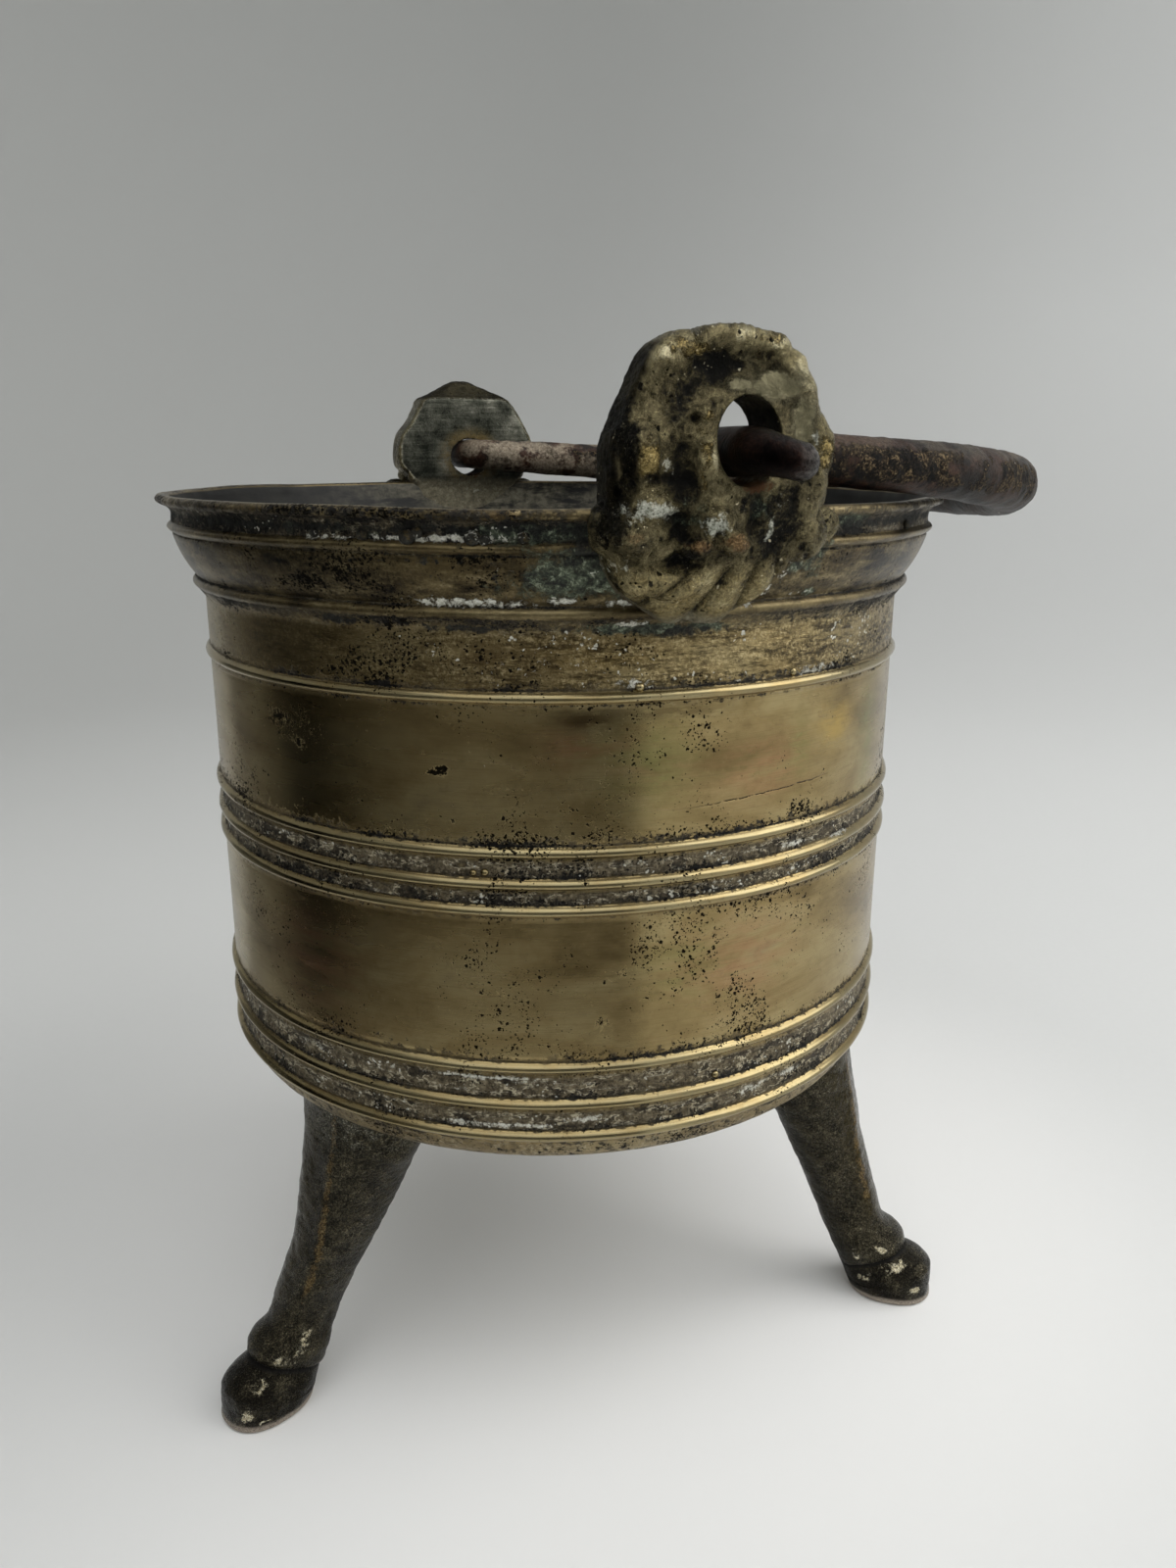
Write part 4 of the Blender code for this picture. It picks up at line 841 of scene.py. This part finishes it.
def earBlank(name, ear):
    # the lug with its hole, and the lumps of metal that were cast on to hold it
    table, side = ear["stations"], ear["side"]
    levels = np.linspace(table[0][0], table[-1][0], earDetail["levels"])
    left, right, outer, inner = [through([(s[0], s[c]) for s in table], levels) for c in range(1, 5)]
    sides = earDetail["sides"]
    across, along = squareRing(sides, ear["square"], 0.5)[1:]
    x = ((left + right) / 2)[:, None] + ((right - left) / 2)[:, None] * across[None, :]
    y = ((outer + inner) / 2)[:, None] + ((outer - inner) / 2)[:, None] * along[None, :]
    points = np.stack([x.ravel(), side * y.ravel(), np.repeat(levels + lipTop, sides)], axis=1)
    blank = meshPiece(name + "Blank", points, gridFaces(earDetail["levels"], sides, True))

    holeX, holeH, wide, tall = ear["hole"]
    turns = np.arange(earDetail["holeSides"]) / earDetail["holeSides"] * math.tau
    holePoints = []
    for reach in earDetail["drilled"]:
        holePoints += [(holeX + wide * math.cos(t), side * reach, lipTop + holeH + tall * math.sin(t)) for t in turns]
    drill = meshPiece(name + "Drill", holePoints, gridFaces(2, earDetail["holeSides"], True))
    cut = blank.modifiers.new("hole", "BOOLEAN")
    cut.operation, cut.object, cut.solver = "DIFFERENCE", drill, "EXACT"
    mesh = evaluatedMesh(blank)
    bpy.data.objects.remove(drill)

    bm = bmesh.new()
    bm.from_mesh(mesh)
    for x, h, out, sizeX, sizeZ, sizeY in ear["lumps"]:
        place = Vector(toWorld((x, side * out, lipTop + h)).tolist())
        size = Matrix.Diagonal((sizeX * mm, sizeY * mm, sizeZ * mm, 1.0))
        bmesh.ops.create_icosphere(bm, subdivisions=3, radius=1.0, matrix=Matrix.Translation(place) @ size)
    bm.to_mesh(mesh)
    bm.free()
    lump = linked(name + "Lump", mesh)
    remesh = lump.modifiers.new("melt", "REMESH")
    remesh.mode, remesh.voxel_size = "VOXEL", earDetail["voxel"] * mm
    soften = lump.modifiers.new("soften", "SMOOTH")
    soften.factor, soften.iterations = 0.5, 4
    return evaluatedMesh(lump)


def makeEar(name, node, ear, seed, material):
    mesh = earBlank(name, ear)
    side = ear["side"]
    count = len(mesh.vertices)
    points = np.empty(count * 3)
    mesh.vertices.foreach_get("co", points)
    points = (points.reshape(-1, 3) - (axisX, axisY, 0)) / mm
    normals = np.empty(count * 3, np.float32)
    mesh.vertices.foreach_get("normal", normals)
    normals = normals.reshape(-1, 3).astype(float)
    across, out, height = points[:, 0], side * points[:, 1], points[:, 2] - lipTop
    facing = smoothStep(0.05, 0.7, side * normals[:, 1])
    inward = smoothStep(0.80, 0.96, -side * normals[:, 1])

    carved = np.zeros(count)
    for x, h, halfX, halfH, amount in ear["carving"]:
        carved += amount * spot(across, height, x, h, halfX, halfH)
    leaf = smoothStep(*earDetail["leafFrom"], height) * facing
    fanX, fanH = earDetail["fanFrom"]
    fan = np.arctan2(fanX - across, fanH - height)            # flutes spread down and across from one side
    flutes = 2 * np.abs(np.cos(fan * earDetail["fanCount"] + 0.9)) ** 0.5 - 1
    carved = carved * facing * earDetail["carve"] + leaf * earDetail["flutes"] * flutes
    cast = layeredNoise(points, 4.0, 3, seed)
    crust = 1 - 2.2 * np.abs(layeredNoise(points, 1.5, 2, seed + 5))           # sharp ridges between small hollows
    roughness = earDetail["cast"] * (1 - 0.85 * inward)
    holeX, holeH, wide, tall = ear["hole"]
    holeRing = np.hypot((across - holeX) / wide, (height - holeH) / tall)
    calm = smoothStep(1.0, 1.35, holeRing)                    # the rod has worn the hole smooth
    smooth = 0.8 * leaf
    for x, h, halfX, halfH, strength in earStains[name]["grey"] + earStains[name]["brass"]:
        smooth = np.maximum(smooth, strength * spot(across, height, x, h, halfX, halfH))
    lift = (carved + roughness * (cast + 0.55 * crust) * (1 - 0.8 * smooth)) * calm
    if "notch" in ear:
        lift -= 1.5 * np.exp(-((across - ear["notch"] - 0.12 * (height - 30)) / 0.8) ** 2) * smoothStep(23, 29, height)
    points += normals * lift[:, None]

    marks = {
        "high": np.clip(0.5 + 0.26 * carved + 0.14 * cast + 0.10 * crust, 0, 1), "inner": inward,
        "holeWear": smoothStep(1.9, 1.05, holeRing), "leaf": leaf, "ridge": np.clip(leaf * (flutes * 0.5 + 0.5), 0, 1),
        "shade": smoothStep(0.45, 0.85, -normals[:, 0] if side < 0 else normals[:, 2]) * smoothStep(-6, 2, height),
        "fillet": smoothStep(92.6, 90.0, out) * smoothStep(2.0, -0.5, height),
    }
    addStains(marks, earStains[name], lambda at: across - at, height)
    mesh.vertices.foreach_set("co", toWorld(points).ravel())
    mesh.update()
    mesh.shade_smooth()
    for mark, values in marks.items():
        setMark(mesh, mark, values)
    finishPiece(linked(name, mesh), node, "vessel", material)


def castEarBrass():
    f = Finish("castEarBrass")
    fine = f.scaled()
    ragged = f.warped(fine, 0.9, 1.6)
    skin = f.noise(ragged, 0.6, 6, 0.74)
    grit = f.noise(fine, 1.9, 4, 0.76)
    high, inner, fillet = [f.mark(name) for name in ("high", "inner", "fillet")]
    form = f.noise(fine, 0.17, 4, 0.62)
    f.tone = f.ramp(form * 0.18 + skin * 0.24 + (high * 0.34 + grit * 0.24), (0.38, 12, 11, 8), (0.45, 70, 64, 46),
                    (0.52, 116, 107, 79), (0.6, 158, 147, 111), (0.68, 226, 216, 178))
    breakup = (f.noise(ragged, 0.45, 6, 0.76) - 0.5) * 2.0

    def patch(mark, low, full):
        return f.span(f.mark(mark) + breakup, low, full)

    tarry = f.span(f.noise(ragged, 0.15, 5, 0.7), 0.53, 0.62)
    f.lay(tarry * 0.4, f.ramp(grit, (0.42, 12, 12, 10), (0.64, 62, 60, 50), (0.72, 150, 146, 126)))
    grey = f.span(f.mark("grey") + breakup * 0.45, 0.18, 0.75) * 0.95
    f.lay(grey, f.ramp(skin * 0.6 + grit * 0.4, (0.36, 82, 78, 59), (0.5, 102, 97, 76), (0.66, 122, 117, 94)))
    brass = patch("brass", 0.44, 0.84)
    f.lay(brass * 0.9, f.ramp(grit, (0.36, 78, 66, 38), (0.5, 136, 118, 72), (0.62, 172, 154, 106),
                              (0.72, 222, 210, 168)))
    copper = patch("copper", 0.38, 0.8)
    f.lay(copper * 0.8, f.ramp(grit, (0.36, 52, 38, 25), (0.54, 126, 97, 64), (0.68, 186, 160, 120)))
    ridge = f.mark("ridge") * f.span(skin, 0.36, 0.58)
    seam = f.mark("leaf") * f.torn("ridge", grit, 0.4, 0.34, 0.12)
    f.lay(seam * 0.85, (14, 12, 8))
    f.lay(ridge * 0.6, f.ramp(grit, (0.4, 84, 71, 42), (0.62, 166, 148, 98)))
    filed = f.noise(f.scaled(140, 1000, 2600), 0.5, 4, 0.65)
    plate = f.ramp(filed * 0.22 + (f.noise(fine, 0.12, 5, 0.68) * 0.58 + grit * 0.2), (0.4, 40, 42, 36),
                   (0.48, 76, 77, 68), (0.55, 106, 106, 95), (0.63, 150, 148, 136))
    plate = f.mix(f.mark("holeWear") * f.span(skin, 0.3, 0.6) * 0.8, plate, (126, 109, 72))
    f.lay(inner * f.span(skin, 0.15, 0.4, 0.85, 1.0), plate)
    shade = f.mark("shade") * f.span(skin, 0.2, 0.55, 0.65, 1.0)
    f.lay(shade * 0.9, f.ramp(grit, (0.48, 5, 5, 4), (0.66, 26, 24, 20), (0.74, 110, 102, 84)))
    rim = inner * (1.0 - inner) * 4.0 * f.span(grit, 0.44, 0.58) * f.span(skin, 0.4, 0.54)
    f.lay(rim * 0.7, (186, 182, 166))
    low = f.span(high + (grit - 0.5) * 0.8, 0.42, 0.2)
    low = low * (1.0 - (inner | grey * 0.8))
    f.lay(low * 0.8, (14, 13, 10))
    holes = f.specks(ragged, 0.95, f.span(f.noise(fine, 0.13, 3, 0.6), 0.42, 0.64, 0.04, 0.42))
    holes = holes * (1.0 - (inner * 0.8 | grey * 0.85))
    f.lay(holes * 0.95, (12, 10, 8))
    f.lay(fillet * f.span(skin, 0.28, 0.46), f.ramp(skin * 0.6 + grit * 0.4, (0.38, 78, 73, 59), (0.5, 110, 104, 86),
                                                    (0.63, 142, 136, 116)))
    green = patch("green", 0.48, 0.88) * 0.9
    f.lay(green, f.ramp(grit, (0.38, 16, 20, 17), (0.52, 58, 67, 54), (0.66, 138, 150, 126)))
    rust = patch("rust", 0.4, 0.8)
    f.lay(rust * 0.8, (92, 58, 32))
    glint = f.specks(ragged, 1.3, f.span(f.noise(fine, 0.16, 3, 0.6), 0.44, 0.62, 0.0, 0.34)) * (1.0 - (inner | grey))
    f.lay(glint * 0.85, (224, 214, 180))
    # painted shade: the black patches on the lug's left part and under the hook; those in its hollows are dark patina
    black = patch("black", 0.5, 0.78)
    f.lay(black * 0.93, f.ramp(grit, (0.46, 8, 8, 7), (0.6, 30, 29, 24), (0.7, 150, 143, 120)))
    lime = patch("lime", 0.5, 0.72)
    f.lay(lime * 0.94, f.ramp(grit, (0.36, 96, 98, 84), (0.47, 178, 180, 163), (0.6, 232, 232, 220)))
    dull = lime | green * 0.85 | (low * 0.7 | (rust | fillet))
    metallic = f.span(dull | shade * 0.5, 0.0, 1.0, 0.9, 0.04) | (brass * 0.95 | shade * 0.94)
    gloss = f.blend(brass, f.span(skin, 0.3, 0.7, 0.14, 0.26), 0.19)
    gloss = f.blend(shade, gloss, 0.6)
    gloss = f.blend(inner, gloss, 0.46)
    gloss = f.blend(dull, gloss, 0.75)
    even = f.span(grey | inner | (brass * 0.75 | f.mark("leaf") * 0.7), 0.0, 1.0, 1.0, 0.12)
    f.bump(skin * even, 0.0016, 0.85)
    f.bump(grit * even, 0.0005, 0.8)
    f.bump(inner * filed, 0.00008, 0.5)
    f.bump(1.0 - holes, 0.0005, 0.9)
    return f.done(gloss, metallic, 0.12)


# the forged bail
handle = {
    "rest": 3.287, "tilt": 0.3628, "elbow": 7.5, "hook": 5.2, "hookReach": 10.6, "hookDroop": 1.5, "tip": 3.4,
    "rod": 4.3, "grip": 7.0, "swell": 0.95, "belly": 26.0, "reach": 116.55, "bend": 2.8,
    "earBack": 88.5, "earFront": 101.0, "earMiddle": 95, "gap": 0.3, "sides": 40, "step": 0.75, "endSteps": 6,
    "hammered": 0.22, "rough": 0.10, "flaked": 0.30,
}


def bailPath():
    # points of (along the hinge, reach) with a radius, from the near hook to the far one
    h = SimpleNamespace(**handle)
    hookOut, elbowIn = h.earFront + h.gap, h.earBack - h.gap
    half = []
    for degrees in (8, 20, 35, 50, 65, 80):
        angle = math.radians(degrees)
        half.append((hookOut + h.hook, h.hookReach - h.tip * (1 - math.cos(angle)), h.tip * math.sin(angle)))
    for angle in np.linspace(0, math.pi / 2, 9):
        thick = h.tip + (h.rod - h.tip) * smoothStep(0, math.pi / 2, angle)
        half.append((hookOut + h.hook * math.cos(angle), h.hook * (1 - math.sin(angle)), float(thick)))
    for angle in np.linspace(0, math.pi / 2, 11):
        half.append((elbowIn - h.elbow * math.sin(angle), h.elbow * (1 - math.cos(angle)), h.rod))
    depth = h.reach - h.belly
    start = math.asin((h.elbow - h.belly) / depth)
    wide = (elbowIn - h.elbow) / math.cos(start)
    for angle in np.linspace(start, math.pi / 2, 64)[1:]:
        reach = h.belly + depth * math.sin(angle)
        thick = h.rod + (h.grip - h.rod) * (reach / h.reach) ** h.swell
        half.append((wide * math.cos(angle), reach, thick))
    half = np.array(half)
    return np.concatenate([half, half[-2::-1] * (-1, 1, 1)])


def makeBail(material):
    h = SimpleNamespace(**handle)
    path = bailPath()
    bent = h.bend * (np.maximum(path[:, 1] - h.belly, 0) / (h.reach - h.belly)) ** 2
    droop = smoothStep(h.earFront - 2, h.earFront + 5, np.abs(path[:, 0])) * smoothStep(-2, 10, path[:, 1])
    droop = h.hookDroop * droop
    line = np.stack([path[:, 1], -path[:, 0], -bent - droop], axis=1)
    length = np.concatenate([[0], np.cumsum(np.linalg.norm(np.diff(line, axis=0), axis=1))])
    ends = h.endSteps                    # the rounded tips keep their own steps
    stops = np.concatenate([length[:ends], np.arange(length[ends], length[-ends - 1], h.step), length[-ends:]])
    line = np.stack([np.interp(stops, length, line[:, c]) for c in range(3)], axis=1)
    radius = np.interp(stops, length, path[:, 2])
    ahead = np.gradient(line, axis=0)
    ahead /= np.linalg.norm(ahead, axis=1)[:, None]
    side = np.cross((0.0, 0.0, 1.0), ahead)
    side /= np.linalg.norm(side, axis=1)[:, None]
    up = np.cross(ahead, side)
    turns = np.arange(h.sides) / h.sides * math.tau
    ring = side[:, None, :] * np.cos(turns)[None, :, None] + up[:, None, :] * np.sin(turns)[None, :, None]
    base = line[:, None, :] + ring * radius[:, None, None]
    flat = base.reshape(-1, 3)
    upward = np.tile(np.sin(turns), len(stops))
    arm = np.repeat(np.clip(line[:, 0] / h.reach, 0, 1), h.sides)
    forged = h.hammered * layeredNoise(flat, 12, 2, 71)
    # scale has lifted off in patches along the flanks
    flank = smoothStep(0.85, 0.35, np.abs(upward)) * smoothStep(0.10, 0.25, arm)
    scale = flank * np.clip(0.7 * layeredNoise(flat, 7, 3, 81) + 0.70, 0, 1)
    rough = h.rough * layeredNoise(flat, 2.2, 3, 91) + h.flaked * scale * layeredNoise(flat, 1.7, 2, 95)
    fromEnd = np.minimum(stops, stops[-1] - stops)
    rim = np.repeat(smoothStep(0, 3, fromEnd), h.sides)
    inEar = smoothStep(6.0, 10.0, np.abs(np.abs(flat[:, 1]) - h.earMiddle)) + smoothStep(2, 6, flat[:, 0])
    lift = (forged + rough) * rim * np.clip(inEar, 0.15, 1)
    flat = flat + ring.reshape(-1, 3) * lift[:, None]

    tilt, rest = math.radians(-h.tilt), math.radians(h.rest)
    turn = np.array(Matrix.Rotation(rest, 3, "Y") @ Matrix.Rotation(tilt, 3, "X"))
    hinge = np.array(frame["record"]["behaviour"]["joints"][0]["pos_m"]) / mm - (axisX / mm, axisY / mm, 0)
    points = flat @ turn.T + hinge
    farArm = np.repeat(smoothStep(20, 45, line[:, 1]) * smoothStep(92, 80, line[:, 1]), h.sides)
    marks = {"scale": scale, "top": smoothStep(0.2, 0.8, upward), "arm": arm, "pale": farArm,
             "tip": np.repeat(smoothStep(22.0, 8.0, fromEnd), h.sides),
             "nose": np.repeat(smoothStep(4.2, 1.4, fromEnd), h.sides)}
    piece = meshPiece("forgedBail", points, gridFaces(len(stops), h.sides, True), marks)
    finishPiece(piece, "bail", "handle", material)


def rustedIron():
    f = Finish("rustedForgedIron")
    fine = f.scaled()
    ragged = f.warped(fine, 0.9, 1.6)
    skin = f.noise(fine, 0.12, 6, 0.68)
    grit = f.noise(fine, 1.1, 5, 0.76)
    f.tone = f.ramp(skin * 0.6 + grit * 0.4, (0.38, 15, 13, 11), (0.5, 35, 29, 25), (0.62, 62, 54, 48))
    ruddy = f.span(f.noise(fine, 0.06, 4, 0.6), 0.42, 0.62) * f.span(f.mark("arm"), 0.95, 0.35, 0.3, 1.0)
    ruddy = ruddy | f.span(f.mark("arm"), 0.5, 0.22) * f.span(skin, 0.34, 0.52)
    f.lay(ruddy * 0.75, f.ramp(grit, (0.36, 38, 24, 18), (0.64, 82, 54, 39)))
    scale = f.torn("scale", f.noise(ragged, 0.5, 6, 0.75), 1.8, 0.28, 0.56)
    f.lay(scale, f.ramp(f.noise(ragged, 1.6, 4, 0.75), (0.42, 7, 6, 5), (0.48, 34, 27, 20), (0.55, 86, 71, 51),
                        (0.66, 152, 132, 98)))
    black = f.span(f.noise(ragged, 0.17, 5, 0.68), 0.52, 0.6) * f.span(f.mark("top"), 0.9, 0.1)
    black = black * f.span(f.mark("pale"), 0.0, 1.0, 1.0, 0.25)
    f.lay(black * 0.9, (12, 11, 10))
    flaked = f.span(f.noise(ragged, 0.24, 5, 0.7), 0.5, 0.56) * f.mark("scale") * f.span(f.mark("arm"), 0.85, 0.65)
    f.lay(flaked * 0.9, (9, 9, 10))
    handled = f.mark("top") * f.span(f.mark("arm"), 0.6, 1.0, 0.2, 0.6) | f.mark("pale")
    worn = f.span(f.noise(fine, 0.11, 5, 0.68), 0.44, 0.54) * handled
    f.lay(worn * 0.8, f.ramp(grit, (0.36, 96, 84, 70), (0.64, 168, 156, 136)))
    speck = f.specks(ragged, 1.1, f.span(f.noise(fine, 0.07, 2, 0.5), 0.52, 0.62) * f.mark("arm") * 0.24)
    f.lay(speck, (206, 200, 186))
    tip = f.mark("tip")
    f.lay(tip * 0.97, f.ramp(skin * 0.5 + grit * 0.5, (0.42, 3, 2, 2), (0.5, 11, 6, 5), (0.62, 32, 19, 14)))
    nose = f.mark("nose") * f.span(f.noise(ragged, 0.5, 5, 0.7), 0.4, 0.52)
    f.lay(nose * 0.9, f.ramp(grit, (0.4, 34, 31, 30), (0.64, 128, 124, 120)))
    dull = scale * 0.9 | speck
    metallic = f.span(dull, 0.0, 1.0, 0.18, 0.05) | (nose * 0.85 | tip * 0.88)
    gloss = f.blend(dull, f.span(skin, 0.3, 0.7, 0.38, 0.52), 0.7)
    gloss = f.blend(tip * (1.0 - nose), gloss, 0.27)
    gloss = f.blend(nose, gloss, 0.22)
    f.bump(skin, 0.001, 0.4)
    f.bump(grit * f.span(scale, 0, 1, 0.22, 1.0), 0.001, 0.9)
    return f.done(gloss, metallic, 0.14)


# stage, light and camera
stage = {
    "radius": 0.85, "bend": 1.0, "bendSteps": 20, "top": 3.0, "around": 128,
    # the paper is painted paler close to the object and up the backdrop (painted light), and darker towards the back
    # left (painted shade)
    "paper": (217, 218, 217), "grain": (198, 199, 198), "middle": (248, 248, 247), "upper": (243, 244, 243),
    "paintedShadeBackLeft": (178, 179, 177), "leftward": (-0.84, 0.54, 0.0),
}
# a dark card on the side away from the window gives the metal something dark to mirror: seen in reflections only
card = {
    "reach": 0.345, "skirt": 0.235, "tall": 0.275, "lift": 0.003, "from": -117, "to": 24, "steps": 49,
    "dark": (14, 14, 13), "grey": (148, 148, 146),
}
studio = {
    "dark": 0.50, "bright": 1.36, "rim": 0.85, "brightSide": (0.85, 0.35, 0.35),      # right, away, up for the camera
    "aim": (0, 0, 0.14),
    # name, place in the camera's frame (right, away, up), size, watts, how wide it spreads, colour
    "lamps": [("windowLight", (1.35, -0.15, 1.1), (1.4, 1.4), 7.4, 120, (1.0, 0.99, 0.97)),
              ("ceilingBounce", (0.1, -0.8, 1.35), (2.0, 1.4), 3.8, 140, (0.98, 0.99, 1.0))],
}
shot = {"distance": 306.87, "height": 225.9, "ear": 18.6, "yaw": 1.7246, "pitch": 15.850, "roll": 0.1375,
        "focal": 27.045, "sensor": 36.0}


def cameraFrame(right, away, up):
    heading = math.radians(shot["ear"])
    x = right * math.cos(heading) + away * math.sin(heading)
    y = -right * math.sin(heading) + away * math.cos(heading)
    return Vector((x + axisX, y + axisY, up))


def cameraWay(right, away, up):
    return cameraFrame(right, away, up) - cameraFrame(0, 0, 0)


def makePaper():
    radius, bend, around = stage["radius"], stage["bend"], stage["around"]
    profile = [(0.25, 0.0), (0.55, 0.0), (radius, 0.0)]
    for angle in np.linspace(0, math.pi / 2, stage["bendSteps"])[1:]:
        profile.append((radius + bend * math.sin(angle), bend * (1 - math.cos(angle))))
    profile.append((radius + bend, stage["top"]))
    points = [(axisX, axisY, 0.0)]
    for reach, up in profile:
        for turn in np.arange(around) / around * math.tau:
            points.append((axisX + reach * math.cos(turn), axisY + reach * math.sin(turn), up))
    faces = [(0, 1 + side, 1 + (side + 1) % around) for side in range(around)]
    faces += [tuple(1 + corner for corner in reversed(face)) for face in gridFaces(len(profile), around)]
    mesh = bpy.data.meshes.new("studioPaper")
    mesh.from_pydata(points, [], faces)
    mesh.shade_smooth()

    f = Finish("palePaper")
    grain = f.noise(f.scaled(), 0.35, 4, 0.6)
    apart = f.node("VectorMath", {0: f.place}, "Value", operation="LENGTH")
    f.tone = f.mix(f.span(grain, 0.3, 0.7, 0.0, 0.06), stage["paper"], stage["grain"])
    # painted light: paler paper close to the object, which lifts the object's shadow on it
    f.lay(f.span(apart, 0.24, 0.07), stage["middle"])
    # painted light: paler paper higher up the backdrop
    f.lay(f.span(f.along((0, 0, 1)), 0.0, 0.45), stage["upper"])
    # painted shade: darker paper towards the back left, away from the window light
    f.lay(f.span(f.along(cameraWay(*stage["leftward"])), -0.22, 1.0), stage["paintedShadeBackLeft"])
    f.bump(grain, 0.0002, 0.1)
    mesh.materials.append(f.done(0.9, 0.0))
    paper = linked("studioPaper", mesh)
    print("made the paper")


def makeCard():
    steps, reach, lift = card["steps"], card["reach"], card["lift"]
    turns = np.linspace(card["from"], card["to"], steps)
    points = []
    for out, up in ((card["skirt"], lift), (reach, lift), (reach, card["tall"])):
        points += [cameraFrame(out * math.sin(math.radians(t)), -out * math.cos(math.radians(t)), up) for t in turns]
    faces = [(row + i, row + i + 1, row + steps + i + 1, row + steps + i)
             for row in (0, steps) for i in range(steps - 1)]
    mesh = bpy.data.meshes.new("darkCard")
    mesh.from_pydata(points, [], faces)
    front = smoothStep(-79, -8, turns)
    skirt = np.maximum(np.maximum(front, 0.06), smoothStep(-70, -100, turns))
    setMark(mesh, "front", np.concatenate([skirt, np.maximum(front, smoothStep(-76, -104, turns)), front]))

    f = Finish("darkCloth")
    weave = f.noise(f.scaled(), 0.8, 3, 0.6)
    f.tone = f.mix(f.mark("front"), card["dark"], card["grey"])
    f.bump(weave, 0.0004, 0.3)
    mesh.materials.append(f.done(0.95, 0.0, 0.0))
    shade = linked("darkCard", mesh)
    shade.visible_camera = shade.visible_diffuse = shade.visible_shadow = False
    print("made the dark card")


def makeLight():
    f = Finish("studioAir", bpy.data.worlds, "Generated")
    bpy.context.scene.world = f.owner
    level = f.span(f.along(cameraWay(*studio["brightSide"]).normalized()), -0.7, 0.9, studio["dark"], studio["bright"])
    # low in the sky it is as pale as the paper, so that the paper's upper edge doesn't show
    height = f.node("SeparateXYZ", {0: f.place}, "Z")
    low = f.node("MapRange", {"Value": height, "From Min": 0.70, "From Max": 0.55}, "Result")
    air = f.tree.nodes["Background"].inputs
    f.join(f.blend(low, level, studio["rim"]), air["Strength"])
    air["Color"].default_value = (1.0, 1.0, 1.0, 1.0)
    aim = cameraFrame(*studio["aim"])
    for name, place, size, watts, spread, colour in studio["lamps"]:
        lamp = bpy.data.lights.new(name, "AREA")
        lamp.shape = "RECTANGLE"
        lamp.size, lamp.size_y = size
        lamp.energy, lamp.color = watts, colour
        lamp.spread = math.radians(spread)
        holder = linked(name, lamp)
        holder.location = cameraFrame(*place)
        holder.rotation_euler = (aim - holder.location).to_track_quat("-Z", "Y").to_euler()
    print("made", len(studio["lamps"]), "lamps")


def makeCamera():
    camera = bpy.data.cameras.new("shot")
    camera.sensor_fit = "VERTICAL"
    camera.sensor_height = shot["sensor"]
    camera.lens = shot["focal"]
    camera.clip_start = 0.01
    holder = linked("shot", camera)
    heading = math.radians(shot["ear"] + shot["yaw"])
    turn = (Matrix.Rotation(-heading, 4, "Z") @ Matrix.Rotation(math.radians(90 - shot["pitch"]), 4, "X")
            @ Matrix.Rotation(math.radians(shot["roll"]), 4, "Z"))
    place = cameraFrame(0, -shot["distance"] * mm, shot["height"] * mm)
    holder.matrix_world = Matrix.Translation(place) @ turn
    bpy.context.scene.camera = holder
    bpy.context.scene.view_settings.view_transform = "Standard"
    print("camera set")


makeCamera()
makeLight()
makePaper()
makeCard()
makeKettle(agedBrass())
legBrass = castLegBrass()
for number in range(3):
    makeLeg(number, 100 + 40 * number, legBrass)
earBrass = castEarBrass()
makeEar("nearLug", "ear_near", nearEar, 300, earBrass)
makeEar("farLug", "ear_far", farEar, 340, earBrass)
makeBail(rustedIron())
